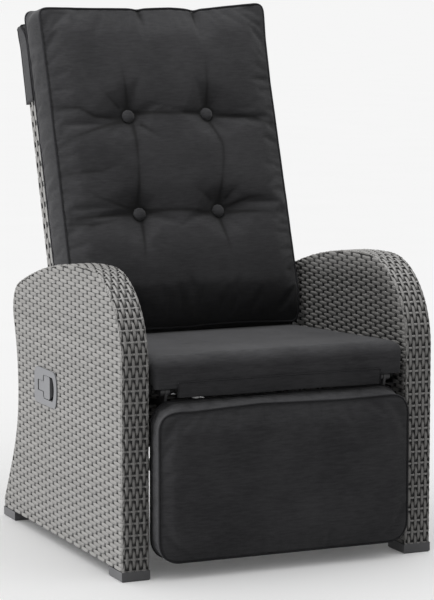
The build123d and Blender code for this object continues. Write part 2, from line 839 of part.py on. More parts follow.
# Hinge plates of the backrest: from its uprights past the hinge to the push rod pin
upright_middle = back_front - back_depth / 2
plate_top = back_plane.from_local_coords((0, plate_reach, upright_middle))
plate_bend = back_plane.from_local_coords((0, plate_knee, upright_middle))
crossbar_y = back_hinge_y + crossbar_share * back_crank * sin(half_recline)
crossbar_z = back_hinge_z - crossbar_share * back_crank * cos(half_recline)
back_bolt_places = []
for distance in plate_bolt_distances:
    place = back_plane.from_local_coords((0, distance, upright_middle))
    back_bolt_places.append((place.Y, place.Z))
plate_bores = [
    (back_hinge_y, back_hinge_z, hinge_bolt_radius + running_gap),
    (back_pin_y, back_pin_z, link_pin_radius + running_gap),
]
for bolt_y, bolt_z in back_bolt_places:
    plate_bores.append((bolt_y, bolt_z, plate_bolt_radius + running_gap))
for side in (-1, 1):
    plate_face = link_face(
        side_start(side, plate_inner_x, plate_thickness),
        (
            (plate_top.Y, plate_top.Z, plate_foot_radius),
            (plate_bend.Y, plate_bend.Z, plate_foot_radius),
            (back_hinge_y, back_hinge_z, hinge_eye_radius),
            (back_pin_y, back_pin_z, crank_eye_radius),
        ),
        plate_bores,
    )
    with BuildPart() as hinge_plate:
        extrude(plate_face, amount=plate_thickness)
    finish_piece(hinge_plate, "back_hinge_plate_" + side_name(side))

# Crossbar between the hinge plates, with two ears for the gas spring's pin
crossbar_ears = []
for side in (-1, 1):
    crossbar_ears.append(
        link_face(
            side_start(side, gas_ear_inner, gas_ear_thickness),
            (
                (crossbar_y, crossbar_z, crossbar_radius - tube_wall),
                (back_pin_y, back_pin_z, crank_eye_radius),
            ),
            ((back_pin_y, back_pin_z, link_pin_radius + running_gap),),
        )
    )
crossbar_face = round_face(-plate_inner_x, crossbar_y, crossbar_z, crossbar_radius)
crossbar_bore = round_face(-plate_inner_x, crossbar_y, crossbar_z, crossbar_radius - tube_wall)
with BuildPart() as crossbar:
    extrude(crossbar_face, amount=2 * plate_inner_x)
    for ear in crossbar_ears:
        extrude(ear, amount=gas_ear_thickness)
    extrude(crossbar_bore, amount=2 * plate_inner_x, mode=Mode.SUBTRACT)
finish_piece(crossbar, "backrest_crossbar")

# Link pins: one pair holds the push rods' front eyes, the other their rear eyes
rod_inner_x = plate_inner_x - plate_gap - rod_thickness
for name, y, z in (
    ("footrest_rod_pins", foot_pin_y, foot_pin_z),
    ("backrest_rod_pins", back_pin_y, back_pin_z),
):
    cross_bolts(
        name,
        y,
        z,
        rod_inner_x - plate_gap,
        link_pin_head_depth,
        link_pin_head_radius,
        plate_outer_x,
        link_pin_radius,
        None,
    )

# Push rods from the backrest's pins to the footrest's; the rear eye has the play that the
# two unequal cranks need in mid travel
rod_eye_z = back_pin_z + rod_eye_lift
for side in (-1, 1):
    rod_x = side_start(side, rod_inner_x, rod_thickness)
    bar_face = link_face(
        rod_x,
        (
            (foot_pin_y, foot_pin_z, rod_height / 2),
            (back_pin_y, rod_eye_z, rod_height / 2),
        ),
    )
    eye_faces = (
        round_face(rod_x, foot_pin_y, foot_pin_z, crank_eye_radius),
        round_face(rod_x, back_pin_y, rod_eye_z, rod_rear_eye_radius),
    )
    bore_faces = (
        round_face(rod_x, foot_pin_y, foot_pin_z, link_pin_radius + running_gap),
        round_face(rod_x, back_pin_y, rod_eye_z, link_pin_radius + rod_play),
    )
    with BuildPart() as push_rod:
        extrude(bar_face, amount=rod_thickness)
        for eye_face in eye_faces:
            extrude(eye_face, amount=rod_thickness)
        for bore_face in bore_faces:
            extrude(bore_face, amount=rod_thickness, mode=Mode.SUBTRACT)
    finish_piece(push_rod, "push_rod_" + side_name(side))

# Gas spring: cylinder with its front eye, and the rod with piston and rear eye
gas_cylinder_length = gas_cylinder_share * (back_pin_y - gas_anchor_y)
gas_cylinder_start = gas_anchor_y + gas_eye_neck
gas_cylinder_end = gas_cylinder_start + gas_cylinder_length
with BuildPart() as gas_cylinder:
    with BuildSketch(Plane.XY.offset(gas_line_z)):
        with BuildLine():
            outer, bore = gas_cylinder_radius, gas_cylinder_radius - gas_cylinder_wall
            gland_bore = gas_rod_radius + running_gap
            cavity_start = gas_cylinder_start + gas_cylinder_wall
            cavity_end = gas_cylinder_end - gas_gland_length
            Polyline(
                (0, gas_cylinder_start),
                (outer, gas_cylinder_start),
                (outer, gas_cylinder_end),
                (gland_bore, gas_cylinder_end),
                (gland_bore, cavity_end),
                (bore, cavity_end),
                (bore, cavity_start),
                (0, cavity_start),
                close=True,
            )
        make_face()
    revolve(axis=Axis((0, 0, gas_line_z), (0, 1, 0)))
    with Locations((0, gas_anchor_y, gas_line_z)):
        Cylinder(gas_eye_radius, gas_eye_width, rotation=(0, 90, 0))
    with Locations((0, (gas_anchor_y + gas_cylinder_start) / 2 + weld_bite, gas_line_z)):
        Cylinder(gas_rod_radius, gas_eye_neck, rotation=(90, 0, 0))
    with Locations((0, gas_anchor_y, gas_line_z)):
        Cylinder(
            link_pin_radius + running_gap,
            gas_eye_width + cut_overrun,
            rotation=(0, 90, 0),
            mode=Mode.SUBTRACT,
        )
finish_piece(gas_cylinder, "gas_cylinder")

rod_start_y = gas_cylinder_end - gas_rod_inside
with BuildPart() as gas_rod:
    with Locations((0, (rod_start_y + back_pin_y) / 2, gas_line_z)):
        Cylinder(gas_rod_radius, back_pin_y - rod_start_y, rotation=(90, 0, 0))
    with Locations((0, rod_start_y + gas_piston_length / 2, gas_line_z)):
        Cylinder(
            gas_cylinder_radius - gas_cylinder_wall - running_gap,
            gas_piston_length,
            rotation=(90, 0, 0),
        )
    with Locations((0, back_pin_y, gas_line_z)):
        Cylinder(gas_eye_radius, gas_eye_width, rotation=(0, 90, 0))
        Cylinder(
            link_pin_radius + gas_rear_play,
            gas_eye_width + cut_overrun,
            rotation=(0, 90, 0),
            mode=Mode.SUBTRACT,
        )
finish_piece(gas_rod, "gas_rod")

gas_pin_length = 2 * (gas_ear_inner + gas_ear_thickness)
for name, y, z in (
    ("gas_front_pin", gas_anchor_y, gas_line_z),
    ("gas_rear_pin", back_pin_y, back_pin_z),
):
    with BuildPart() as gas_pin:
        with Locations((0, y, z)):
            Cylinder(link_pin_radius, gas_pin_length, rotation=(0, 90, 0))
        for side in (-1, 1):
            with Locations((side * (gas_pin_length + link_pin_head_depth) / 2, y, z)):
                Cylinder(link_pin_head_radius, link_pin_head_depth, rotation=(0, 90, 0))
    finish_piece(gas_pin, name)


# Backrest outlines: upright, with rounded top corners
def back_outline(forward, inset, bottom):
    half_width = back_half_width - inset
    top = back_top - inset
    with BuildSketch(back_plane.offset(forward)) as face:
        with Locations((0, (top + bottom) / 2)):
            Rectangle(2 * half_width, top - bottom)
        fillet(face.vertices().group_by(Axis.Y)[-1], radius=back_corner_radius - inset)
    return face.sketch


back_rear = back_front - back_depth
frame_inset = back_skin + soft_gap
frame_rear = (back_front + back_rear - back_tube) / 2
below_back = back_bottom - cut_overrun

# Woven shell of the backrest, open below
weave_faces = back_outline(back_rear, 0, back_bottom)
weave_hollow = back_outline(back_rear + back_skin, back_skin, below_back)
with BuildPart() as back_weave:
    extrude(weave_faces, amount=back_depth)
    rims = back_weave.edges().filter_by(Axis(back_plane.origin, back_plane.z_dir), reverse=True)
    rims = rims.filter_by(
        lambda edge: back_plane.to_local_coords(edge.center()).Y > back_bottom + running_gap
    )
    fillet(rims, radius=back_rim_radius)
    extrude(weave_hollow, amount=back_depth - 2 * back_skin, mode=Mode.SUBTRACT)
finish_piece(back_weave, "backrest_weave")

# Backrest frame: a square tube bent round the shell's inside, with cross slats
tube_outside = back_outline(frame_rear, frame_inset, back_bottom)
tube_outside_hollow = back_outline(frame_rear + tube_wall, frame_inset + tube_wall, below_back)
tube_inside_wall = back_outline(
    frame_rear + tube_wall, frame_inset + back_tube - tube_wall, back_bottom
)
tube_inside = back_outline(frame_rear, frame_inset + back_tube, below_back)
with BuildPart() as back_frame:
    extrude(tube_outside, amount=back_tube)
    extrude(tube_outside_hollow, amount=back_tube - 2 * tube_wall, mode=Mode.SUBTRACT)
    extrude(tube_inside_wall, amount=back_tube - 2 * tube_wall)
    extrude(tube_inside, amount=back_tube, mode=Mode.SUBTRACT)
    with Locations(back_plane):
        for distance in back_slat_distances:
            with Locations((0, distance, upright_middle)):
                slat_length = 2 * plate_outer_x + tube_wall
                Box(slat_length, back_slat_height, back_slat_depth)
    add(bolt_bores(back_bolt_places), mode=Mode.SUBTRACT)
finish_piece(back_frame, "backrest_frame")
plate_bolts("back_plate_bolts", back_bolt_places)

# Cloth hood over the top of the backrest
hood_bottom = back_top - hood_length
hood_faces = back_outline(back_rear - soft_gap - hood_cloth, -soft_gap - hood_cloth, hood_bottom)
hood_hollow = back_outline(back_rear - soft_gap, -soft_gap, hood_bottom - cut_overrun)
with BuildPart() as hood:
    extrude(hood_faces, amount=back_depth + 2 * (soft_gap + hood_cloth))
    rims = hood.edges().filter_by(Axis(back_plane.origin, back_plane.z_dir), reverse=True)
    rims = rims.filter_by(
        lambda edge: back_plane.to_local_coords(edge.center()).Y > hood_bottom + running_gap
    )
    fillet(rims, radius=hood_rim_radius)
    extrude(hood_hollow, amount=back_depth + 2 * soft_gap, mode=Mode.SUBTRACT)
finish_piece(hood, "backrest_hood")


def cushion_section(plane, half_width, rear, front, crown, boxing):
    """Closed outline across a cushion: flat rear, crowned front, and sides that bulge a little."""
    with BuildSketch(plane) as section:
        with BuildLine():
            Line((-half_width, -rear), (half_width, -rear))
            ThreePointArc(
                (half_width, -rear),
                (half_width + boxing, -(rear + front) / 2),
                (half_width, -front),
            )
            ThreePointArc((half_width, -front), (0, -front - crown), (-half_width, -front))
            ThreePointArc(
                (-half_width, -front),
                (-half_width - boxing, -(rear + front) / 2),
                (-half_width, -rear),
            )
        make_face()
    return section.sketch


def section_plane(base, distance):
    """Plane across base at a distance along its Y, whose own Y points to the rear of base."""
    return Plane(
        origin=base.from_local_coords((0, distance, 0)), x_dir=base.x_dir, z_dir=base.y_dir
    )


# Back cushion: crowned, drawn in at the sides, tufted at four buttons with pleats across
back_cushion_rear = back_front + 2 * soft_gap + hood_cloth
back_sections = []
for length_share, drawn_share, crown_share in back_station_shares:
    distance = back_cushion_bottom + back_cushion_length * length_share
    end_share = 1 if length_share in (0.0, 1.0) else 0
    back_sections.append(
        cushion_section(
            section_plane(back_plane, distance),
            back_cushion_width / 2 - back_cushion_boxing - back_cushion_drawn_in * drawn_share,
            back_cushion_rear,
            back_cushion_front - back_cushion_end_tuck * end_share,
            back_cushion_crown * crown_share,
            back_cushion_boxing,
        )
    )
tuft_floor = back_cushion_front + back_cushion_crown - tuft_depth
button_places = []
for side in (-1, 1):
    for row_distance in button_row_distances:
        button_places.append((side * button_half_spacing, row_distance))
crown_half_width = back_cushion_width / 2 - back_cushion_boxing - back_cushion_drawn_in
pleat_lift = back_cushion_front - pleat_depth + pleat_radius
with BuildPart() as pleats:
    for row_distance in button_row_distances:
        pleat_plane = section_plane(back_plane, row_distance)
        with BuildLine(pleat_plane) as crest:
            ThreePointArc(
                (-crown_half_width - cut_overrun, -pleat_lift),
                (0, -pleat_lift - back_cushion_crown),
                (crown_half_width + cut_overrun, -pleat_lift),
            )
        with BuildSketch(Plane(origin=crest.line @ 0, z_dir=crest.line % 0)):
            Circle(pleat_radius)
        sweep(path=crest.line)
with BuildPart() as back_cushion:
    loft(back_sections)
    add(pleats.part, mode=Mode.SUBTRACT)
    with Locations(back_plane):
        for button_x, row_distance in button_places:
            with Locations((button_x, row_distance, tuft_floor + tuft_radius)):
                Sphere(tuft_radius, mode=Mode.SUBTRACT)
finish_piece(back_cushion, "back_cushion")

# Covered buttons, domed, seated in the tufts
button_seat = tuft_floor + button_radius**2 / (2 * tuft_radius) + soft_gap
with BuildPart() as button_dome:
    with BuildSketch(Plane.XZ):
        with BuildLine():
            Polyline((0, button_height), (0, 0), (button_radius, 0), (button_radius, button_side))
            TangentArc((0, button_height), (button_radius, button_side), tangent=(1, 0))
        make_face()
    revolve(axis=Axis.Z)
with BuildPart() as buttons:
    with Locations(back_plane):
        for button_x, row_distance in button_places:
            with Locations((button_x, row_distance, button_seat)):
                add(button_dome.part)
finish_piece(buttons, "back_cushion_buttons")


# Seat cushion: sections across the chair, each with a waterfall front
def seat_section(width_share, crown_share, drop_share):
    height = seat_cushion_edge + seat_cushion_crown * crown_share - seat_side_drop * drop_share
    rear = cushion_front_distance + seat_cushion_length
    front = cushion_front_distance + seat_side_setback * drop_share
    upper = seat_cushion_front_radius * (1 - drop_share / 2)
    lower = seat_cushion_lower_radius
    bevel = 1 - cos(pi / 4)
    x = (width_share - 1 / 2) * seat_cushion_width
    plane = Plane(
        origin=seat_plane.from_local_coords((x, 0, soft_gap)),
        x_dir=seat_plane.y_dir,
        z_dir=(1, 0, 0),
    )
    with BuildSketch(plane) as section:
        with BuildLine():
            Line((front + lower, 0), (rear, 0))
            Line((rear, 0), (rear, height - seat_cushion_rear_drop))
            ThreePointArc(
                (rear, height - seat_cushion_rear_drop),
                ((rear + front) / 2, height + seat_cushion_arch * crown_share),
                (front + upper, height),
            )
            ThreePointArc(
                (front + upper, height),
                (front + upper * bevel, height - upper * bevel),
                (front, height - upper),
            )
            Line((front, height - upper), (front, lower))
            ThreePointArc(
                (front, lower),
                (front + lower * bevel, lower * bevel),
                (front + lower, 0),
            )
        make_face()
    return section.sketch


seat_sections = [seat_section(*shares) for shares in seat_station_shares]
with BuildPart() as seat_cushion:
    loft(seat_sections)
finish_piece(seat_cushion, "seat_cushion")

# Flap of cover cloth that hangs from the cushion's front towards the footrest
flap_top = seat_edge_height + soft_gap + seat_cushion_lower_radius + flap_lap
flap_front_y = setback_y(seat_cushion_front_setback) - flap_cloth
flap_knee = seat_edge_height + soft_gap + seat_cushion_lower_radius
with BuildPart() as flap:
    with BuildSketch(Plane.YZ.offset(-flap_width / 2)):
        Polygon(
            (flap_front_y + 2 * flap_cloth, flap_top),
            (flap_front_y, flap_top),
            (flap_front_y, flap_knee),
            (flap_front_y + flap_slant, flap_bottom),
            (flap_front_y + flap_slant + flap_cloth, flap_bottom),
            (flap_front_y + 2 * flap_cloth, flap_knee),
            align=None,
        )
    extrude(amount=flap_width)
    add(seat_cushion.part, mode=Mode.SUBTRACT)
finish_piece(flap, "seat_cushion_flap")


# Footrest outlines, upright in the plane at a setback
def footrest_outline(setback, inset):
    half_width = footrest_half_width - inset
    low = footrest_weave_bottom + inset
    high = footrest_weave_top - inset
    with BuildSketch(Plane.XZ.offset(-setback_y(setback))) as face:
        with Locations((0, (low + high) / 2)):
            RectangleRounded(2 * half_width, high - low, footrest_corner_radius - inset)
    return face.sketch


footrest_rear_setback = footrest_weave_setback + footrest_weave_depth
footrest_mid_setback = footrest_weave_setback + footrest_weave_depth / 2
footrest_mid_y = setback_y(footrest_mid_setback)
footrest_inset = footrest_skin + soft_gap
arm_bolt_places = [(footrest_mid_y, footrest_weave_top - drop) for drop in arm_bolt_drops]
slot_width = plate_thickness + 2 * plate_gap
slot_depth = footrest_weave_depth - 2 * footrest_skin
shell_faces = footrest_outline(footrest_rear_setback, 0)
shell_hollow = footrest_outline(footrest_rear_setback - footrest_skin, footrest_skin)
with BuildPart() as footrest_weave:
    extrude(shell_faces, amount=footrest_weave_depth)
    extrude(shell_hollow, amount=footrest_weave_depth - 2 * footrest_skin, mode=Mode.SUBTRACT)
    for side in (-1, 1):
        slot_x = side * (plate_inner_x + plate_thickness / 2)
        with Locations((slot_x, footrest_mid_y, footrest_weave_top)):
            Box(slot_width, slot_depth, 4 * footrest_skin + cut_overrun, mode=Mode.SUBTRACT)
finish_piece(footrest_weave, "footrest_weave")

frame_rear_setback = footrest_mid_setback + footrest_tube / 2
ring_outside = footrest_outline(frame_rear_setback, footrest_inset)
ring_outside_hollow = footrest_outline(
    frame_rear_setback - tube_wall, footrest_inset + tube_wall
)
ring_inside_wall = footrest_outline(
    frame_rear_setback - tube_wall, footrest_inset + footrest_tube - tube_wall
)
ring_inside = footrest_outline(frame_rear_setback, footrest_inset + footrest_tube)
bar_low = footrest_weave_bottom + footrest_inset + footrest_tube - tube_wall / 2
bar_high = footrest_weave_top - footrest_inset - footrest_tube + tube_wall / 2
with BuildPart() as footrest_frame:
    extrude(ring_outside, amount=footrest_tube)
    extrude(ring_outside_hollow, amount=footrest_tube - 2 * tube_wall, mode=Mode.SUBTRACT)
    extrude(ring_inside_wall, amount=footrest_tube - 2 * tube_wall)
    extrude(ring_inside, amount=footrest_tube, mode=Mode.SUBTRACT)
    with Locations((0, footrest_mid_y, (bar_low + bar_high) / 2)):
        Box(footrest_slat_height, footrest_slat_height, bar_high - bar_low)
    for share in footrest_slat_shares:
        slat_z = footrest_weave_bottom + share * (footrest_weave_top - footrest_weave_bottom)
        with Locations((0, footrest_mid_y, slat_z)):
            Box(2 * plate_outer_x + tube_wall, footrest_slat_height, footrest_slat_height)
    for side in (-1, 1):
        slot_x = side * (plate_inner_x + plate_thickness / 2)
        slot_low = arm_bar_bottom - arm_bar_radius - plate_gap
        with Locations((slot_x, footrest_mid_y, (slot_low + footrest_weave_top) / 2)):
            Box(
                plate_thickness,
                footrest_tube + cut_overrun,
                footrest_weave_top - slot_low,
                mode=Mode.SUBTRACT,
            )
    add(bolt_bores(arm_bolt_places), mode=Mode.SUBTRACT)
finish_piece(footrest_frame, "footrest_frame")
plate_bolts("footrest_arm_bolts", arm_bolt_places)

for side in (-1, 1):
    arm_bores = [
        (foot_hinge_y, foot_hinge_height, hinge_bolt_radius + running_gap),
        (foot_pin_y, foot_pin_z, link_pin_radius + running_gap),
    ]
    for bolt_y, bolt_z in arm_bolt_places:
        arm_bores.append((bolt_y, bolt_z, plate_bolt_radius + running_gap))
    arm_face = link_face(
        side_start(side, plate_inner_x, plate_thickness),
        (
            (foot_pin_y, foot_pin_z, crank_eye_radius),
            (foot_hinge_y, foot_hinge_height, foot_eye_radius),
            (footrest_mid_y, arm_bar_top, arm_bar_radius),
            (footrest_mid_y, arm_bar_bottom, arm_bar_radius),
        ),
        arm_bores,
    )
    with BuildPart() as footrest_arm:
        extrude(arm_face, amount=plate_thickness)
    finish_piece(footrest_arm, "footrest_arm_" + side_name(side))

# Footrest cushion: a crowned slab cut to a rounded outline, its front edge rolled over
foot_cushion_rear_y = setback_y(footrest_weave_setback) - soft_gap
foot_cushion_height = footrest_cushion_top - footrest_cushion_bottom
foot_cushion_plane = Plane(
    origin=(0, foot_cushion_rear_y, footrest_cushion_bottom),
    x_dir=(1, 0, 0),
    z_dir=(0, -1, 0),
)
foot_sections = []
for height_share, crown_share in footrest_station_shares:
    overrun = 2 * cut_overrun * (height_share - 1 / 2)
    foot_sections.append(
        cushion_section(
            section_plane(foot_cushion_plane, foot_cushion_height * height_share + overrun),
            footrest_cushion_width / 2,
            -cut_overrun,
            footrest_cushion_thickness,
            footrest_cushion_crown * crown_share,
            cut_overrun,
        )
    )
with BuildSketch(foot_cushion_plane) as foot_cushion_outline:
    with Locations((0, foot_cushion_height / 2)):
        RectangleRounded(footrest_cushion_width, foot_cushion_height, footrest_cushion_corner)
with BuildPart() as footrest_cushion:
    loft(foot_sections)
    extrude(
        foot_cushion_outline.sketch,
        amount=2 * footrest_cushion_thickness,
        mode=Mode.INTERSECT,
    )
    front_face = footrest_cushion.faces().sort_by(Axis.Y)[0]
    fillet(front_face.edges(), radius=footrest_cushion_edge_radius)
finish_piece(footrest_cushion, "footrest_cushion")

# Release lever: housing with its finger cup, set into the woven face
lever_floor_x = -(outer_face_x - cup_depth + cup_wall)
bezel_start_x = -(outer_face_x + bezel_thickness)
cup_front_y = setback_y(lever_centre_setback) - bezel_length / 2 + cup_front_margin
cup_wide_rear_y = cup_front_y + cup_wide_length
cup_slot_rear_y = cup_wide_rear_y + cup_slot_length
lever_pin_x = -(outer_face_x - lever_pin_depth)
lever_pin_y = cup_slot_rear_y - lever_pin_end
bezel_faces = lever_face(
    bezel_start_x, bezel_length / 2, bezel_length / 2, bezel_height, bezel_front_bulge, bezel_rear_radius
)
cup_outside = cup_face(-outer_face_x, cup_wall)
cup_inside = cup_face(bezel_start_x - cut_overrun, 0)
with BuildPart() as lever_housing:
    extrude(bezel_faces, amount=bezel_thickness)
    extrude(cup_outside, amount=cup_depth)
    extrude(cup_inside, amount=lever_floor_x - bezel_start_x + cut_overrun, mode=Mode.SUBTRACT)
    with Locations((lever_pin_x, lever_pin_y, lever_centre_height)):
        Cylinder(
            lever_pin_radius + running_gap,
            cup_slot_height + 2 * cup_wall + cut_overrun,
            mode=Mode.SUBTRACT,
        )
    with Locations((cup_floor_x + ferrule_length / 2, cup_wide_rear_y, lever_centre_height)):
        Cylinder(ferrule_radius, ferrule_length, rotation=(0, 90, 0))
finish_piece(lever_housing, "lever_housing")

# Paddle: a T-shaped plate with a folded lip, hinged behind on a hub in two halves
stem_rear_y = cup_slot_rear_y - stem_end
stem_front_y = cup_wide_rear_y - 2 * paddle_gap
wide_front_y = stem_front_y - paddle_wide_length
stem_height = cup_slot_height - 2 * paddle_gap
wide_height = cup_wide_height - 2 * paddle_gap
paddle_start_x = -(outer_face_x + bezel_thickness - paddle_gap)
paddle_rear_x = paddle_start_x + paddle_thickness
with BuildPart() as lever_paddle:
    with BuildSketch(Plane.YZ.offset(paddle_start_x)):
        with Locations(((wide_front_y + stem_front_y) / 2, lever_centre_height)):
            RectangleRounded(paddle_wide_length, wide_height, paddle_corner)
        with Locations(((stem_front_y - paddle_corner + stem_rear_y) / 2, lever_centre_height)):
            Rectangle(stem_rear_y - stem_front_y + paddle_corner, stem_height)
    extrude(amount=paddle_thickness)
    lip_y = wide_front_y + paddle_thickness / 2
    with Locations((paddle_rear_x + paddle_lip / 2 - weld_bite, lip_y, lever_centre_height)):
        Box(paddle_lip, paddle_thickness, wide_height - 2 * paddle_corner)
    with Locations((lever_pin_x, lever_pin_y, lever_centre_height)):
        Cylinder(lever_hub_radius, stem_height)
        Cylinder(lever_pin_radius + running_gap, stem_height, mode=Mode.SUBTRACT)
    with Locations((paddle_rear_x + lever_hub_radius, lever_pin_y, lever_centre_height)):
        Box(
            2 * lever_hub_radius,
            2 * lever_hub_radius + cut_overrun,
            lever_spring_room,
            mode=Mode.SUBTRACT,
        )
finish_piece(lever_paddle, "lever_paddle")

with BuildPart() as lever_pin:
    with Locations((lever_pin_x, lever_pin_y, lever_centre_height)):
        Cylinder(lever_pin_radius, cup_slot_height + 2 * cup_wall)
finish_piece(lever_pin, "lever_pin")

spring_height = lever_spring_turns * lever_spring_pitch
spring_start = (lever_pin_x, lever_pin_y, lever_centre_height - spring_height / 2)
with BuildPart() as lever_spring:
    with BuildLine() as coil:
        Helix(lever_spring_pitch, spring_height, lever_spring_radius, center=spring_start)
    with BuildSketch(Plane(origin=coil.line @ 0, z_dir=coil.line % 0)):
        Circle(lever_spring_wire / 2)
    sweep(path=coil.line)
finish_piece(lever_spring, "lever_spring")
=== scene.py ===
import bmesh
import bpy
import json
import math
import numpy as np
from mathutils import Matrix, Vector


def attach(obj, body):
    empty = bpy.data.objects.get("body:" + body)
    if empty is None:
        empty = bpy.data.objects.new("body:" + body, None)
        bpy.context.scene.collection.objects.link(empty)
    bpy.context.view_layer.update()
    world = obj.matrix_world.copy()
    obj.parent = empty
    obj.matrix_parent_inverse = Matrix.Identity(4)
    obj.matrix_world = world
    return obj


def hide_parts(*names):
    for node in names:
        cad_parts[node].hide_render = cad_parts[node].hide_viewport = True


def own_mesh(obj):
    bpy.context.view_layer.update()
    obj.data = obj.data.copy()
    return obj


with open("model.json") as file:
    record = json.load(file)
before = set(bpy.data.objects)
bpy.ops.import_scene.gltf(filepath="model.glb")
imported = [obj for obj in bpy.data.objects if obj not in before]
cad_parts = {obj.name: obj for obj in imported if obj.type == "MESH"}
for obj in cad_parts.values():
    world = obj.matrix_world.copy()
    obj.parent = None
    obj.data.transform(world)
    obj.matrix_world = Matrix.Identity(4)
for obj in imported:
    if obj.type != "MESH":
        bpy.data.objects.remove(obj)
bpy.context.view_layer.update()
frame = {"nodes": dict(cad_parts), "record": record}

NODES = frame["nodes"]
STAGE = bpy.context.scene
MM = 0.001

# Places of the part, in millimetres, in the CAD model's frame
OUTER_X, INNER_X = 340.0, 280.0
FRONT_Y, DEPTH, FLOOR_GAP, HEIGHT = -359.0, 690.0, 20.0, 580.0
# Outline of a side panel from the front's top to the heel, as shares of its depth and height
OUTLINE = (
    (0.0, 0.698), (0.254, 1.0), (0.845, 0.870), (0.896, 0.807),
    (0.896, 0.724), (0.861, 0.466), (0.907, 0.233), (0.997, 0.035),
)
# Hole for the lever's cup in the outer weave, as y and z from and to
CUP_HOLE = (2.0, 102.0, 295.0, 353.0)
SEAT_Y, SEAT_Z, SEAT_SLOPE = -305.0, 380.0, math.radians(3.5)
HINGE_Y, HINGE_Z, LEAN = 169.0, 332.04, math.radians(17.0)
# The weave: heights of its rows, places of its stakes, how far a strand rises, and the stakes' tone:
# painted shade, near black, for the shade in the slits
ROW, STAKE, FACE_RISE, STAKE_PAINTED_SHADE = 7.95, 22.3, 1.8, -0.75
# Below this height the panels' inner faces are painted darker: painted shade for the seat's shade
SEAT_EDGE_Z = 390.0


def seat_point(x, v, w):
    """Point at distance v along the seat plane and w above it."""
    c, s = math.cos(SEAT_SLOPE), math.sin(SEAT_SLOPE)
    return np.stack([x + 0 * v + 0 * w, SEAT_Y + v * c + w * s, SEAT_Z - v * s + w * c], -1)


def back_point(x, v, f):
    """Point at distance v up the backrest's plane and f in front of it."""
    c, s = math.cos(LEAN), math.sin(LEAN)
    return np.stack([x + 0 * v + 0 * f, HINGE_Y + v * s - f * c, HINGE_Z + v * c + f * s], -1)


def foot_point(x, v, f):
    """Point at height v and f in front of the chair's middle."""
    return np.stack([x + 0 * v + 0 * f, -(f + 0 * x + 0 * v), v + 0 * x + 0 * f], -1)


def face_normal(to_world):
    """Direction in which the last value of a point function grows."""
    zero, one = np.zeros(1), np.ones(1)
    return to_world(zero, zero, one)[0] - to_world(zero, zero, zero)[0]


SEAT_UP, FORWARD = face_normal(seat_point), face_normal(back_point)


def unit(x):
    return np.clip(x, 0, 1)


def ease(x):
    """From 0 to 1 as x does, slow at both ends."""
    x = unit(x)
    return x * x * (3 - 2 * x)


def bell(d, width):
    return np.exp(-((d / width) ** 2))


def at(table, x):
    """Value at x in a table of (x, value) pairs."""
    return np.interp(x, *np.transpose(table))


# Materials
def new_material(name):
    """Material with its node tree and its shader."""
    mat = bpy.data.materials.new(name)
    mat.use_nodes = True
    return mat, mat.node_tree, mat.node_tree.nodes["Principled BSDF"]


def put(node, values):
    """Sets sockets by their names."""
    for key, value in values.items():
        node.inputs[key].default_value = value


def add(tree, kind, **values):
    """Node with the given values on its sockets, or else on its own settings."""
    node = tree.nodes.new(kind)
    for key, value in values.items():
        if key in node.inputs:
            node.inputs[key].default_value = value
        else:
            setattr(node, key, value)
    return node


def ramp(tree, source, low, high, start=0.3, end=0.7):
    """Colour from low to high as the source goes from start to end."""
    node = tree.nodes.new("ShaderNodeValToRGB")
    for stop, position, colour in zip(node.color_ramp.elements, (start, end), (low, high)):
        stop.position, stop.color = position, (*colour, 1)
    tree.links.new(source, node.inputs["Fac"])
    return node.outputs["Color"]


def noise(tree, vector, scale, detail=3.0, rough=0.5):
    node = add(tree, "ShaderNodeTexNoise", Scale=scale, Detail=detail, Roughness=rough)
    tree.links.new(vector, node.inputs["Vector"])
    return node.outputs["Fac"]


def object_coords(tree, scale=(1, 1, 1)):
    coord = add(tree, "ShaderNodeTexCoord")
    mapping = add(tree, "ShaderNodeMapping", Scale=scale)
    tree.links.new(coord.outputs["Object"], mapping.inputs["Vector"])
    return mapping.outputs["Vector"]


def maths(tree, operation, a, b):
    """Sum of two sockets or numbers, or what else the operation says."""
    node = add(tree, "ShaderNodeMath", operation=operation)
    for socket, value in zip(node.inputs, (a, b)):
        if isinstance(value, (int, float)):
            socket.default_value = value
        else:
            tree.links.new(value, socket)
    return node.outputs[0]


def weighted(tree, *parts):
    """Sum of sockets, each times its weight."""
    terms = [maths(tree, "MULTIPLY", socket, weight) for socket, weight in parts]
    total = terms[0]
    for term in terms[1:]:
        total = maths(tree, "ADD", total, term)
    return total


def mixed_colour(tree, share, colour, painted_shade):
    """The colour, going over to a near-black painted shade as the share goes to 1."""
    mix = add(tree, "ShaderNodeMix", data_type="RGBA")
    tree.links.new(share, mix.inputs["Factor"])
    tree.links.new(colour, mix.inputs["A"])
    mix.inputs["B"].default_value = (painted_shade, painted_shade, painted_shade, 1)
    return mix.outputs["Result"]


def bump(tree, shader, height, strength, distance):
    node = add(tree, "ShaderNodeBump", Strength=strength, Distance=distance)
    tree.links.new(height, node.inputs["Height"])
    tree.links.new(node.outputs["Normal"], shader.inputs["Normal"])


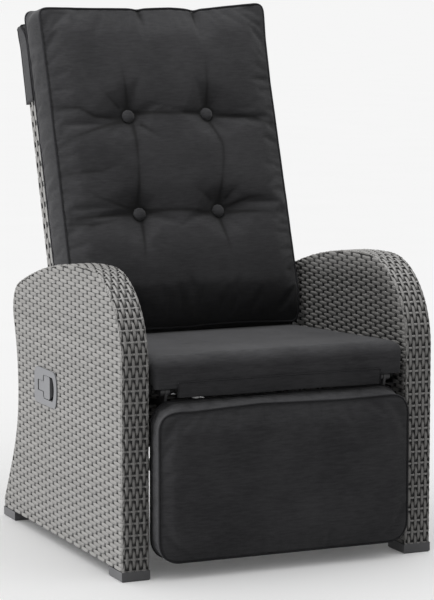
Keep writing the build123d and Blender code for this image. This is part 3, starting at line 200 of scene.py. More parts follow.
def strand_material():
    """Flat plastic strands: each strand has its own tone, with fine ribs along it."""
    mat, tree, shader = new_material("woven_strand")
    lay = add(tree, "ShaderNodeAttribute", attribute_name="strand")
    split = tree.nodes.new("ShaderNodeSeparateXYZ")
    tree.links.new(lay.outputs["Vector"], split.inputs[0])
    stretch = add(tree, "ShaderNodeMapping", Scale=(14.0, 3.0, 37.0))
    tree.links.new(lay.outputs["Vector"], stretch.inputs["Vector"])
    grain = noise(tree, stretch.outputs["Vector"], 1.0, 4.0, 0.6)
    mixed = weighted(tree, (split.outputs["Z"], 0.55), (grain, 0.5))
    # Tones below zero, from painted shade, go to near black
    colour = ramp(tree, mixed, (0.012, 0.012, 0.012), (0.147, 0.144, 0.140), 0.0, 0.85)
    middle = colour.node.color_ramp.elements.new(0.14)
    middle.color = (0.060, 0.058, 0.055, 1)
    tree.links.new(colour, shader.inputs["Base Color"])
    put(shader, {"Specular IOR Level": 0.35})
    tree.links.new(ramp(tree, grain, (0.48,) * 3, (0.64,) * 3), shader.inputs["Roughness"])
    ribs = maths(tree, "SINE", maths(tree, "MULTIPLY", split.outputs["Y"], 15.0), 0.0)
    bump(tree, shader, maths(tree, "ADD", maths(tree, "MULTIPLY", ribs, 0.5), grain), 0.35, 0.0006)
    return mat


def cloth_material(name, low, high, sheen=0.06):
    """Canvas: crossed threads, slubs, streaks and a slow change of shade. A point attribute of painted
    shade darkens it in creases, round buttons and at the back cushion's foot.
    """
    mat, tree, shader = new_material(name)
    coords = object_coords(tree)
    warp, weft = (
        add(tree, "ShaderNodeTexWave", Scale=520.0, Distortion=1.5, bands_direction=axis) for axis in "XZ")
    for wave in (warp, weft):
        tree.links.new(coords, wave.inputs["Vector"])
    threads = maths(tree, "MULTIPLY", warp.outputs["Fac"], weft.outputs["Fac"])
    slub = noise(tree, object_coords(tree, (1, 1, 3)), 260.0, 2.0)
    streak = noise(tree, object_coords(tree, (1, 3, 7)), 44.0, 3.0)
    shade = noise(tree, coords, 9.0, 5.0)
    mixed = weighted(tree, (threads, 0.2), (slub, 0.2), (shade, 0.45), (streak, 0.45))
    # Painted shade stored on the points darkens the colour towards near black
    painted_shade_node = add(tree, "ShaderNodeAttribute", attribute_name="fold_and_painted_shade")
    painted_shade_share = maths(tree, "MULTIPLY", painted_shade_node.outputs["Fac"], 0.85)
    colour = mixed_colour(tree, painted_shade_share, ramp(tree, mixed, low, high, 0.42, 0.78), 0.002)
    tree.links.new(colour, shader.inputs["Base Color"])
    put(shader, {"Roughness": 0.9, "Specular IOR Level": 0.12})
    put(shader, {"Sheen Weight": sheen, "Sheen Roughness": 0.45})
    bump(tree, shader, maths(tree, "ADD", threads, slub), 0.3, 0.0006)
    return mat


def metal_material(name, low, high, metallic, roughness, scale=60.0, coat=0.0, deep=None):
    """Metal or moulded plastic. deep gives the x places from a cup's open face to its floor, where painted
    shade goes to near black for the shade in the recess.
    """
    mat, tree, shader = new_material(name)
    coords = object_coords(tree)
    fine = noise(tree, coords, scale * 6, 3.0)
    broad = noise(tree, coords, scale / 8, 4.0)
    mixed = weighted(tree, (fine, 0.4), (broad, 0.6))
    colour = ramp(tree, mixed, low, high)
    # Painted shade: the cup's inside goes to near black, with little specular
    if deep:
        place = tree.nodes.new("ShaderNodeSeparateXYZ")
        tree.links.new(coords, place.inputs[0])
        inside = add(tree, "ShaderNodeMapRange")
        put(inside, {"From Min": deep[0], "From Max": deep[1]})
        tree.links.new(place.outputs["X"], inside.inputs["Value"])
        colour = mixed_colour(tree, inside.outputs["Result"], colour, 0.003)
        put(shader, {"Specular IOR Level": 0.1})
    tree.links.new(colour, shader.inputs["Base Color"])
    put(shader, {"Metallic": metallic, "Coat Weight": coat})
    least, most = roughness
    tree.links.new(ramp(tree, mixed, (least,) * 3, (most,) * 3), shader.inputs["Roughness"])
    bump(tree, shader, fine, 0.15, 0.0004)
    return mat


# Hard materials: darkest and lightest colour, how metallic, least and most roughness and, where they
# differ from the rest, the grain's scale and the clear coat
HARD = {
    "coated_tube": ((0.012, 0.012, 0.013), (0.022, 0.022, 0.023), 0.0, (0.42, 0.58)),
    # zinc_steel and bolt_steel are near black and hardly metallic: painted shade for the mechanism's steel
    # parts, which lie in shade under the seat
    "zinc_steel": ((0.014, 0.014, 0.015), (0.026, 0.026, 0.027), 0.0, (0.42, 0.58)),
    "bolt_steel": ((0.018, 0.018, 0.019), (0.032, 0.032, 0.034), 0.3, (0.42, 0.58)),
    "foot_plastic": ((0.030, 0.030, 0.032), (0.044, 0.044, 0.046), 0.0, (0.45, 0.62), 90.0),
    "gas_body": ((0.012, 0.012, 0.013), (0.022, 0.022, 0.024), 0.0, (0.18, 0.32), 40.0, 0.4),
    "chrome_rod": ((0.72, 0.73, 0.74), (0.82, 0.82, 0.83), 1.0, (0.06, 0.14)),
    "lever_plastic": ((0.085, 0.086, 0.090), (0.105, 0.106, 0.110), 0.0, (0.42, 0.55), 80.0),
}
MATS = {name: metal_material(name, *values) for name, values in HARD.items()}
MATS["woven_strand"] = strand_material()
MATS["cushion_cloth"] = cloth_material("cushion_cloth", (0.011, 0.011, 0.012), (0.026, 0.026, 0.0275))
MATS["hood_cloth"] = cloth_material("hood_cloth", (0.013, 0.013, 0.014), (0.031, 0.031, 0.0325))
# Lever plastic with painted shade deep in its cup
CUP_PAINTED_SHADE_PLASTIC = metal_material("lever_cup_painted_shade", *HARD["lever_plastic"], deep=(-0.338, -0.330))
PIPING = cloth_material("piping_cloth", (0.006, 0.006, 0.007), (0.014, 0.014, 0.015), 0.04)


# Mesh helpers
def make_mesh(name, verts, faces, material, smooth=True, strand=None):
    """Object from points in millimetres and a list of arrays of faces, one array for each number of
    corners. strand is a vector per point for the strands' material."""
    mesh = bpy.data.meshes.new(name)
    verts = np.asarray(verts, np.float32).reshape(-1, 3) * MM
    faces = [np.asarray(f, np.int32) for f in faces]
    mesh.vertices.add(len(verts))
    mesh.vertices.foreach_set("co", verts.ravel())
    loops = np.concatenate([f.ravel() for f in faces])
    sizes = np.concatenate([np.full(len(f), f.shape[1], np.int32) for f in faces])
    mesh.loops.add(len(loops))
    mesh.loops.foreach_set("vertex_index", loops)
    mesh.polygons.add(len(sizes))
    mesh.polygons.foreach_set("loop_start", np.concatenate([[0], np.cumsum(sizes)[:-1]]).astype(np.int32))
    mesh.update(calc_edges=True)
    mesh.validate()
    mesh.polygons.foreach_set("use_smooth", np.full(len(mesh.polygons), smooth))
    if strand is not None:
        layer = mesh.attributes.new("strand", "FLOAT_VECTOR", "POINT")
        layer.data.foreach_set("vector", np.asarray(strand, np.float32).ravel())
    mesh.materials.append(material)
    obj = bpy.data.objects.new(name, mesh)
    STAGE.collection.objects.link(obj)
    return obj


def grid_quads(rows, columns, close_rows=False, close_columns=False):
    """Quads between the points of a grid that is numbered row by row."""
    i = np.arange(rows if close_rows else rows - 1)[:, None]
    j = np.arange(columns if close_columns else columns - 1)[None]
    ni, nj = (i + 1) % rows, (j + 1) % columns
    corners = [i * columns + j, i * columns + nj, ni * columns + nj, ni * columns + j]
    return np.stack(corners, -1).reshape(-1, 4)


# Sections of a flat strand and of a cord, one wide and one high
LENS = np.array([(-0.5, 0.10), (-0.40, 0.66), (-0.15, 0.97), (0.15, 0.97), (0.40, 0.66), (0.5, 0.10)])
ROUND = np.array([(math.sin(a) / 2, math.cos(a) / 2 + 0.5) for a in np.arange(8) * math.pi / 4 - math.pi / 2])


class Bundle:
    """Collects strands into one mesh. A strand is swept along points, with one normal or one at each."""

    def __init__(self, seed):
        self.rng = np.random.default_rng(seed)
        self.verts, self.quads, self.caps, self.lay, self.count = [], [], [], [], 0

    def strand(self, points, normals, width, thick, profile=LENS, closed=False, tone=None, shade=0.0):
        points = np.asarray(points, float)
        normals = np.broadcast_to(np.asarray(normals, float), points.shape)
        if closed:
            tangent = np.roll(points, -1, 0) - np.roll(points, 1, 0)
        else:
            tangent = np.gradient(points, axis=0)
        tangent /= np.linalg.norm(tangent, axis=1, keepdims=True) + 1e-12
        across = np.cross(tangent, normals)
        across /= np.linalg.norm(across, axis=1, keepdims=True) + 1e-12
        up = np.cross(across, tangent)
        n, m = len(points), len(profile)
        ring = (
            points[:, None, :]
            + across[:, None, :] * (profile[None, :, 0:1] * width)
            + up[:, None, :] * (profile[None, :, 1:2] * thick)
        )
        steps = np.linalg.norm(np.diff(points, axis=0), axis=1)
        length = np.concatenate([[0], np.cumsum(steps)]) * MM
        tone = self.rng.uniform(0.36, 0.64) if tone is None else tone
        # For the material: place along the strand, place across it, and tone with painted shade added
        lay = np.empty((n, m, 3))
        lay[..., 0] = length[:, None] + self.rng.random() * 9
        lay[..., 1] = profile[None, :, 0]
        lay[..., 2] = tone + np.broadcast_to(shade, n)[:, None]
        self.quads.append(grid_quads(n, m, closed, True) + self.count)
        if not closed:
            self.caps.append(np.arange(m)[::-1][None] + self.count)
            self.caps.append((np.arange(m) + (n - 1) * m)[None] + self.count)
        self.verts.append(ring.reshape(-1, 3))
        self.lay.append(lay.reshape(-1, 3))
        self.count += n * m

    def build(self, name, body, nodes=(), slot="woven_strand", material=None):
        faces = [np.concatenate(part) for part in (self.quads, self.caps) if part]
        obj = make_mesh(
            name, np.concatenate(self.verts), faces, material or MATS[slot], True, np.concatenate(self.lay))
        return settle(obj, body, nodes)


REPLACED = set()


def settle(obj, body, nodes=()):
    """Sets the object's body, and hides and records the CAD nodes that it stands for."""
    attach(obj, body)
    if nodes:
        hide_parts(*nodes)
        REPLACED.update(nodes)
    return obj


# Painted shade: how much darker a strand is painted where it dives, and the places of its points along one
# wave
DIP_SHADE = -1.2
ARCH_SHARES = np.array([0.0, 0.06, 0.11, 0.155, 0.23, 0.36, 0.5, 0.64, 0.77, 0.845, 0.89, 0.94])


def arch_run(start, end, pitch, odd):
    """Places along a strand, its height there, from -1 where it dives behind every second stake to 1
    where it arches over the one between, and its painted shade: the dips are painted dark, for the
    shade in them. odd shifts it by a stake."""
    span = 2 * pitch
    first = math.floor((start - odd * pitch) / span) * span + odd * pitch
    cusps = first + span * np.arange(int((end - first) / span) + 2)
    s = (cusps[:, None] + span * ARCH_SHARES[None, :]).ravel()
    s = s[(s > start + 0.3) & (s < end - 0.3)]
    s = np.concatenate([[start], s, [end]])
    far = np.abs((s - odd * pitch + pitch) % span - pitch)
    rise = ease((far - 0.07 * span) / (0.1 * span)) * (0.86 + 0.14 * np.sin(math.pi * far / span))
    return s, 2 * rise - 1, DIP_SHADE * unit(1 - (far - 0.11 * span) / (0.05 * span))


def row_strand(bundle, place, normal, start, end, odd, width, thick, height, tuck=2.0, extra_painted_shade=0.0):
    """One woven strand from start to end, tucked in at its ends; place(s, off) gives its points."""
    s, wave, shade = arch_run(start, end, STAKE, odd)
    wave = wave * height * bundle.rng.uniform(0.92, 1.04)
    ends = np.minimum(s - start, end - s)
    wave = np.where(ends < 5.0, wave - tuck * (1 - ends / 5.0), wave)
    bundle.strand(place(s, wave), normal, width, thick, shade=shade + extra_painted_shade)


def stake_strand(bundle, place, normal, start, end, first_row, k, thick):
    """One upright strand from start to end, which gives way a little to each row that crosses it. It is
    painted near black, as painted shade for the slits it lies in.
    """
    s = np.linspace(start, end, max(2, int((end - start) / ROW)) + 1)
    off = 0.3 * np.cos(math.pi * (s - first_row) / ROW + math.pi * k)
    bundle.strand(place(s, off), normal, 3.6, thick, tone=STAKE_PAINTED_SHADE)


# Outline of the side panels
def arc_chain(points, tangent, step):
    """Points about step apart on arcs through the given points, each tangent to the one before."""
    out = [np.array(points[0], float)]
    tangent = np.array(tangent, float)
    for start, end in zip(points, points[1:]):
        start, end = np.array(start, float), np.array(end, float)
        chord = end - start
        left = np.array([-tangent[1], tangent[0]])
        radius = (chord @ chord) / (2 * (chord @ left))
        centre = start + left * radius
        a0 = math.atan2(*(start - centre)[::-1])
        a1 = math.atan2(*(end - centre)[::-1])
        turn = (a1 - a0) % (2 * math.pi)
        if radius < 0:
            turn -= 2 * math.pi
        n = max(2, int(abs(turn * radius) / step))
        for k in range(1, n + 1):
            a = a0 + turn * k / n
            out.append(centre + abs(radius) * np.array([math.cos(a), math.sin(a)]))
        tangent = np.array([-math.sin(a1), math.cos(a1)]) * (1 if radius > 0 else -1)
    return np.array(out)


named = [(FRONT_Y + DEPTH * d, FLOOR_GAP + HEIGHT * h) for d, h in OUTLINE]
straight = np.stack([np.full(60, FRONT_Y), np.linspace(FLOOR_GAP, named[0][1], 60)], 1)[:-1]
curve = arc_chain(named, (0.0, 1.0), 3.0)
heel_end = np.stack([np.full(8, curve[-1][0]), np.linspace(curve[-1][1], FLOOR_GAP, 8)], 1)[1:]


def resample(points, step):
    """The same line with points about step apart, and how far along it each lies."""
    gaps = np.linalg.norm(np.diff(points, axis=0), axis=1)
    s = np.concatenate([[0], np.cumsum(gaps)])
    n = int(round(s[-1] / step))
    t = np.linspace(0, s[-1], n + 1)
    return np.stack([np.interp(t, s, points[:, k]) for k in range(points.shape[1])], 1), t


def line_normals(points):
    """Unit normals to the left of a line of (x, y) points."""
    tangent = np.gradient(points, axis=0)
    tangent /= np.linalg.norm(tangent, axis=1, keepdims=True)
    return np.stack([-tangent[:, 1], tangent[:, 0]], 1)


RIM, RIM_S = resample(np.concatenate([straight, curve, heel_end]), 4.0)
RIM_N = line_normals(RIM)


def spans(z, outline):
    """The intervals in y that lie inside the closed outline at height z."""
    y0, z0 = outline[:, 0], outline[:, 1]
    y1, z1 = np.roll(y0, -1), np.roll(z0, -1)
    hit = (z0 > z) != (z1 > z)
    y = np.sort(y0[hit] + (z - z0[hit]) / (z1[hit] - z0[hit]) * (y1[hit] - y0[hit]))
    return list(zip(y[0::2], y[1::2]))


def cut_out(intervals, low, high):
    """The intervals without what lies between low and high."""
    kept = []
    for a, b in intervals:
        if high <= a or low >= b:
            kept.append((a, b))
            continue
        if low > a:
            kept.append((a, low))
        if high < b:
            kept.append((high, b))
    return kept


def panel_face_weave(name, node, x_mid, facing, seed, hole=None, extra_painted_shade=0.0):
    """One woven face of a side panel: level strands over and under upright stakes. Its extra painted
    shade darkens it below the seat, for the seat's shade."""
    bundle = Bundle(seed)
    outline = RIM - RIM_N * 3.6
    first_row = FLOOR_GAP + 5.0
    normal = (facing, 0.0, 0.0)
    for i in range(int((HEIGHT - 8) / ROW) + 1):
        z = first_row + i * ROW
        parts = spans(z, outline)
        if hole and hole[2] < z < hole[3]:
            parts = cut_out(parts, hole[0], hole[1])
        dz = bundle.rng.uniform(-0.2, 0.2)
        for a, b in parts:
            if b - a < 8:
                continue
            row_strand(
                bundle,
                lambda s, off: np.stack([x_mid + facing * (off - 0.4), s, np.full_like(s, z + dz)], 1),
                normal, a, b, i % 2, 8.5, 1.6, FACE_RISE, extra_painted_shade=extra_painted_shade * unit((SEAT_EDGE_Z - z) / 30))
    for k in range(-16, 17):
        y = k * STAKE
        parts = [(a, b) for a, b in spans(y, outline[:, ::-1]) if b - a >= 10]
        if hole and hole[0] < y < hole[1]:
            parts = cut_out(parts, hole[2], hole[3])
        for a, b in parts:
            stake_strand(
                bundle, lambda s, off: np.stack([x_mid + facing * (off - 2.3), np.full_like(s, y), s], 1),
                normal, a, b, first_row, k, 1.4)
    return bundle.build(name, "base", (node,))


def swell(s, pitch, odd):
    """Height of an edge strand, from -1 under every second cross stake to 1 over the one between, and
    its painted shade, dark where it dives."""
    far = np.abs((s - odd * pitch + pitch) % (2 * pitch) - pitch)
    return 2 * ease((far - 4.0) / 9.0) - 1, -1.15 * unit(1 - (far - 5.5) / 8.0)


def panel_band_weave(name, node, side, seed):
    """The woven edge of a side panel: eight strands along the outline, over and under cross stakes, and
    a thin one along each corner."""
    bundle = Bundle(seed)
    pitch, strands, margin = 23.8, 8, 0.7
    wide = OUTER_X - INNER_X
    step = (wide - 2 * margin) / strands
    y, z, ny, nz = *RIM.T, *RIM_N.T
    for k in range(strands):
        x = INNER_X + margin + step * (k + 0.5)
        wave, shade = swell(RIM_S, pitch, k % 2)
        edge = k in (0, strands - 1)
        off = wave * (1.4 if edge else 1.8) * bundle.rng.uniform(0.94, 1.04) - 3.5 - (0.5 if edge else 0.0)
        pts = np.stack([np.full_like(RIM_S, side * x), y + ny * off, z + nz * off], 1)
        lean = 0.0 if not edge else (0.45 if k else -0.45)
        normal = np.stack([np.full_like(RIM_S, side * lean), ny, nz], 1)
        bundle.strand(pts, normal, step - 0.7, 1.7, shade=shade)
    across = np.linspace(-wide / 2 + 2.4, wide / 2 - 2.4, 4 * strands + 1)
    for k in range(int(RIM_S[-1] / pitch) + 1):
        y, z, ny, nz = (
            np.full_like(across, np.interp(k * pitch, RIM_S, line)) for line in (*RIM.T, *RIM_N.T))
        turn = np.cos(math.pi * ((across + wide / 2 - margin) / step - 0.5 - k))
        off = -2.6 + 1.4 * turn - 1.0 * (np.abs(across) > wide / 2 - 4)
        pts = np.stack([side * (INNER_X + wide / 2) + across, y + ny * off, z + nz * off], 1)
        # Painted shade darkens the cross stakes where they dive under the strands
        bundle.strand(pts, np.stack([0 * y, ny, nz], 1), 4.6, 1.3, tone=0.85, shade=0.6 * np.minimum(turn, 0))
    # Thin corner strands, with painted shade where they sink between their bumps
    for x, out in ((INNER_X + 1.9, -1), (OUTER_X - 1.9, 1)):
        ripple = np.cos(2 * math.pi * RIM_S / (2 * ROW) + out)
        y, z = (RIM - RIM_N * (2.3 - 0.7 * ripple)[:, None]).T
        pts = np.stack([np.full_like(y, side * x), y, z], 1) - np.array([side * out * 0.75, 0, 0])
        normal = np.stack([np.full_like(y, side * out * 0.8), RIM_N[:, 0] * 0.6, RIM_N[:, 1] * 0.6], 1)
        bundle.strand(pts - normal * 0.6, normal, 3.4, 1.6, shade=0.45 * (ripple - 1))
    return bundle.build(name, "base", (node,))


for side, label, seed in ((-1, "left", 11), (1, "right", 21)):
    panel = "side_weave_" + label
    hole = CUP_HOLE if side < 0 else None
    panel_face_weave("weave_outer_" + label, panel, side * (OUTER_X - 2.6), side, seed, hole)
    # Inner faces: painted shade below the seat
    panel_face_weave("weave_inner_" + label, panel, side * (INNER_X + 2.6), -side, seed + 1, extra_painted_shade=-0.35)
    panel_band_weave("weave_band_" + label, panel, side, seed + 2)


# Woven shells of backrest, footrest and rear apron
def shell_weave(name, body, node, seed, to_world, width, low, high, corner, both_corners, front, rear):
    """Woven shell round a flat frame: a face in front, one behind and strands round the edge. It reaches
    width to each side and from low to high, and its lower corners are round where both_corners says so."""
    bundle = Bundle(seed)
    first_row = low + 3.5
    forward = face_normal(to_world)

    def corner_cut(d):
        """How much a round corner takes away at distance d from its start."""
        return corner - math.sqrt(max(corner**2 - min(max(d, 0.0), corner) ** 2, 0))

    for facing, f_mid in ((1, front - 2.4), (-1, rear + 2.4)):
        normal = forward * facing
        for i in range(int((high - low - 6) / ROW) + 1):
            v = first_row + i * ROW
            end_near = min(high - v, v - low) if both_corners else high - v
            half = width - corner_cut(corner - end_near) - 3.0
            row_strand(
                bundle, lambda s, off: to_world(s, np.full_like(s, v), f_mid + facing * (off - 0.4)),
                normal, -half, half, i % 2, 8.5, 1.5, 1.5)
        for k in range(-12, 13):
            x = k * STAKE
            if abs(x) > width - 5:
                continue
            cut = corner_cut(abs(x) - (width - corner))
            stake_strand(
                bundle, lambda s, off: to_world(np.full_like(s, x), s, f_mid + facing * (off - 2.1)),
                normal, low + (cut if both_corners else 0) + 3, high - cut - 3, first_row, k, 1.3)
    turns = [(corner * math.cos(a), corner * math.sin(a)) for a in np.linspace(0, math.pi / 2, 14)]
    right = [(width - corner + c, high - corner + s) for c, s in turns]
    if both_corners:
        right = [(width - corner + s, low + corner - c) for c, s in turns] + right
    else:
        right = [(width, low)] + right
    loop = right + [(-x, v) for x, v in right[::-1]]
    if both_corners:
        loop.append(loop[0])
    loop, s = resample(np.array(loop), 4.4)
    out = -line_normals(loop)
    across = max(2, int((front - rear) / 7.2))
    for k in range(across):
        f = rear + (front - rear) * (k + 0.5) / across
        edge = k in (0, across - 1)
        run, wave, shade = arch_run(0.0, s[-1], STAKE, k % 2)
        lx, lv, ox, ov = (np.interp(run, s, line) for line in (*loop.T, *out.T))
        f = np.full_like(lx, f)
        off = wave * (0.7 if edge else 1.3) - 2.9 - (0.9 if edge else 0)
        pts = to_world(lx + ox * off, lv + ov * off, f)
        lean = 0.0 if not edge else (0.4 if k else -0.4)
        normal = to_world(lx + ox, lv + ov, f) - to_world(lx, lv, f) + lean * forward
        bundle.strand(pts, normal, 7.6, 1.5, shade=shade)
    return bundle.build(name, body, (node,))


shell_weave("backrest_weave_strands", "backrest", "backrest_weave", 31, back_point,
            width=267.9, low=45.0, high=752.0, corner=58.0, both_corners=False, front=25.0, rear=-10.0)
shell_weave("footrest_weave_strands", "footrest", "footrest_weave", 41, foot_point,
            width=262.9, low=40.0, high=328.0, corner=30.0, both_corners=True, front=340.5, rear=316.5)
shell_weave("rear_apron_strands", "base", "rear_apron_weave", 45, foot_point,
            width=279.8, low=148.0, high=328.0, corner=4.0, both_corners=True, front=-212.0, rear=-230.0)


# Seat deck and rear stretcher
def deck_weave():
    """Woven seat deck, with its front edge turned down over the frame's front rail."""
    bundle = Bundle(51)
    half, length, first_row = 279.0, 425.0, 3.0
    for i in range(int((length - 4) / ROW) + 1):
        v = first_row + i * ROW
        row_strand(
            bundle, lambda s, off: seat_point(s, np.full_like(s, v), off - 2.6),
            SEAT_UP, -half, half, i % 2, 8.3, 1.2, 0.95, 0.6)
    # Stakes painted near black: painted shade, as on the panels
    for k in range(-12, 13):
        s = np.linspace(0, length, 107)
        off = -2.6 - 0.25 * np.cos(math.pi * (s - first_row) / ROW + math.pi * k)
        bundle.strand(seat_point(np.full_like(s, k * STAKE), s, off), SEAT_UP, 3.6, 1.0, tone=STAKE_PAINTED_SHADE)
    # Front edge: short upright strands and two level ones, with gaps for the footrest's hinge ears, all
    # painted near black as painted shade under the seat cushion
    to_front = (0.0, -1.0, 0.0)
    ear_x, ear_half, uprights = 245.0, 5.8, 70
    drop = np.array([-0.9, -3.5, -8.0, -13.0, -18.0, -21.6])
    for k in range(uprights):
        x = -half + 4 + k * (2 * half - 8) / (uprights - 1)
        if abs(abs(x) - ear_x) < 5.5:
            continue
        wave = 0.5 * (1 if k % 2 else -1) * np.array([0, 1, -1, 1, -1, 0])
        bundle.strand(seat_point(np.full(6, x), -2.6 + wave, drop), to_front, 7.2, 1.3, tone=STAKE_PAINTED_SHADE)
    for j, w in enumerate((-6.0, -14.0)):
        near, far = ear_x - ear_half, ear_x + ear_half
        for a, b in ((-half, -far), (-near, near), (far, half)):
            s = np.linspace(a, b, max(3, int((b - a) / 6)))
            wave = 0.5 * np.cos(math.pi * s / 8.1 + math.pi * j)
            pts = seat_point(s, -2.4 + wave, np.full_like(s, w))
            bundle.strand(pts, to_front, 4.5, 1.2, tone=STAKE_PAINTED_SHADE)
    return bundle.build("seat_deck_strands", "base", ("seat_deck_weave",))


def stretcher_wrap():
    """Strand wound round the rear stretcher, turn against turn."""
    bundle = Bundle(61)
    half, y_mid, z_mid, radius = 279.5, 284.08, 94.0, 12.7
    turns = int(560 / 7.6)
    a = np.linspace(0, 2 * math.pi * turns, turns * 14 + 1)
    normal = np.stack([np.zeros_like(a), np.cos(a), np.sin(a)], 1)
    pts = np.stack([-half + 2 * half * a / a[-1], y_mid + radius * np.cos(a), z_mid + radius * np.sin(a)], 1)
    bundle.strand(pts, normal, 7.7, 1.8, tone=0.45)
    return bundle.build("stretcher_wrap_strand", "base", ("rear_stretcher_wrap",))


deck_weave()
stretcher_wrap()


# Cushions
def activate(obj):
    bpy.ops.object.select_all(action="DESELECT")
    obj.select_set(True)
    bpy.context.view_layer.objects.active = obj


def fetch(obj, field):
    values = np.empty(len(obj.data.vertices) * 3, np.float32)
    obj.data.vertices.foreach_get(field, values)
    return values.reshape(-1, 3)


def coords(obj):
    """The mesh's points, in metres."""
    return fetch(obj, "co").astype(float)


def set_coords(obj, co):
    obj.data.vertices.foreach_set("co", np.asarray(co, np.float32).ravel())
    obj.data.update()


def outward(obj):
    """Turns all faces outward."""
    bm = bmesh.new()
    bm.from_mesh(obj.data)
    bmesh.ops.recalc_face_normals(bm, faces=bm.faces)
    bm.to_mesh(obj.data)
    bm.free()


def rounded(x, y, half_x, half_y, r):
    """The points of a rectangle, moved so that its corners are round."""
    dx = unit((np.abs(x) - half_x + r) / r)
    dy = unit((np.abs(y) - half_y + r) / r)
    return (
        x + np.sign(x) * r * dx * (np.sqrt(1 - dy**2 / 2) - 1),
        y + np.sign(y) * r * dy * (np.sqrt(1 - dx**2 / 2) - 1),
    )


def boxed_mesh(name, front, rear, walls):
    """Closed quad mesh of a front grid, a rear grid and rings of wall points between their edges.
    Gives the object and the point numbers of the front seam and the rear seam."""
    nu, nv = front.shape[:2]
    idx = np.arange(nu * nv).reshape(nu, nv)
    edge = np.concatenate([idx[:, 0], idx[-1, 1:], idx[-2::-1, -1], idx[0, -2:0:-1]])
    front, rear = front.reshape(-1, 3), rear.reshape(-1, 3)
    verts, rings, count = [front, rear], [edge], 2 * nu * nv
    for share in np.linspace(0, 1, walls + 2)[1:-1]:
        rings.append(np.arange(len(edge)) + count)
        verts.append(front[edge] * (1 - share) + rear[edge] * share)
        count += len(edge)
    rings.append(edge + nu * nv)
    q = grid_quads(nu, nv)[:, [0, 3, 2, 1]]
    faces = [q, q[:, ::-1] + nu * nv]
    for a, b in zip(rings, rings[1:]):
        faces.append(np.stack([a, b, np.roll(b, -1), np.roll(a, -1)], -1))
    obj = make_mesh(name, np.concatenate(verts), [np.concatenate(faces)], MATS["cushion_cloth"])
    outward(obj)
    return obj, rings[0], rings[-1]


def inflate(obj, pin, cap, pressure=4.0, slack=0.01, tension=12.0, bending=1.4):
    """Cloth simulation with inner pressure, applied to the mesh. pin holds each point, from 0 to 1, and no
    point moves more than cap."""
    frames = 20
    start = coords(obj)
    group = obj.vertex_groups.new(name="pin")
    levels = np.round(unit(pin), 1)
    for level in np.unique(levels):
        if level > 0:
            group.add([int(i) for i in np.where(levels == level)[0]], float(level), "REPLACE")
    mod = obj.modifiers.new("cloth", "CLOTH")
    c = mod.settings
    c.quality = 6
    c.mass = 0.3
    c.tension_stiffness = c.compression_stiffness = tension
    c.shear_stiffness = tension / 2
    c.bending_stiffness = bending
    c.air_damping = 4
    c.use_pressure = True
    c.uniform_pressure_force = pressure
    c.shrink_min = c.shrink_max = -slack
    c.vertex_group_mass = "pin"
    c.pin_stiffness = 8
    c.effector_weights.gravity = 0
    mod.collision_settings.use_collision = False
    mod.collision_settings.use_self_collision = False
    mod.point_cache.frame_start, mod.point_cache.frame_end = 1, frames
    for f in range(1, frames + 1):
        STAGE.frame_set(f)
    moved = coords(obj.evaluated_get(bpy.context.evaluated_depsgraph_get())) - start
    obj.modifiers.remove(mod)
    STAGE.frame_set(1)
    far = np.linalg.norm(moved, axis=1, keepdims=True)
    limit = cap * MM
    moved *= np.where(far > limit, limit / np.maximum(far, 1e-9), 1.0)
    set_coords(obj, start + moved)


def subdivide(obj):
    activate(obj)
    mod = obj.modifiers.new("sub", "SUBSURF")
    mod.levels = mod.render_levels = 1
    bpy.ops.object.modifier_apply(modifier=mod.name)


def fold_and_painted_shade(x, v, line, depths, wide):
    """Depth of a fold along a line of points, sharp at the line and easing out to its sides, and its
    painted shade, a dark line along the fold."""
    line = np.array(line, float)
    best, along, run = np.full(len(x), 1e9), np.zeros(len(x)), 0.0
    for (x0, v0), (x1, v1) in zip(line, line[1:]):
        long = math.hypot(x1 - x0, v1 - v0)
        t = unit(((x - x0) * (x1 - x0) + (v - v0) * (v1 - v0)) / long**2)
        d = np.hypot(x - x0 - t * (x1 - x0), v - v0 - t * (v1 - v0))
        along = np.where(d < best, run + t * long, along)
        best = np.minimum(d, best)
        run += long
    depth = np.interp(along / run, np.linspace(0, 1, len(depths)), depths)
    return depth * np.exp(-best / wide), depth * (bell(best, 3.2) / 6 + bell(best, 11.0) / 26)


def back_local(co):
    """World metres to (x, v, f) millimetres of the backrest's plane."""
    p = co / MM - np.array([0.0, HINGE_Y, HINGE_Z])
    c, s = math.cos(LEAN), math.sin(LEAN)
    return p[:, 0], p[:, 1] * s + p[:, 2] * c, -p[:, 1] * c + p[:, 2] * s


def rope(name, points, radius, body, slot, normal, step, closed=False):
    """Round cord swept along points, for piping and seams."""
    points, _ = resample(np.concatenate([points, points[:1]]) if closed else points, step)
    points = points[:-1] if closed else points
    bundle = Bundle(7)
    bundle.strand(points - normal * radius, normal, 2 * radius, 2 * radius, ROUND, closed, 0.5)
    return bundle.build(name, body, (), slot, PIPING)


def piping(name, obj, ring, body, normal, radius=2.3, out=1.4, ahead=0.0):
    """Piping sewn into a cushion's seam: it follows the seam's own points, out from it and ahead of it."""
    points = coords(obj)[ring] / MM + fetch(obj, "normal")[ring] * out + normal * ahead
    for _ in range(2):
        points = points * 0.5 + (np.roll(points, 1, 0) + np.roll(points, -1, 0)) * 0.25
    return rope(name, points, radius, body, "cushion_cloth", normal, 5.0, closed=True)


BUTTONS = [(x, v) for x in (-91.0, 91.0) for v in (313.0, 526.5)]
# The back cushion's rear face, its front seam and half its width and height before its outline is shaped
BACK_REAR, BACK_EDGE, BACK_WIDE, BACK_HALF = 29.3, 101.0, 256.0, 350.0
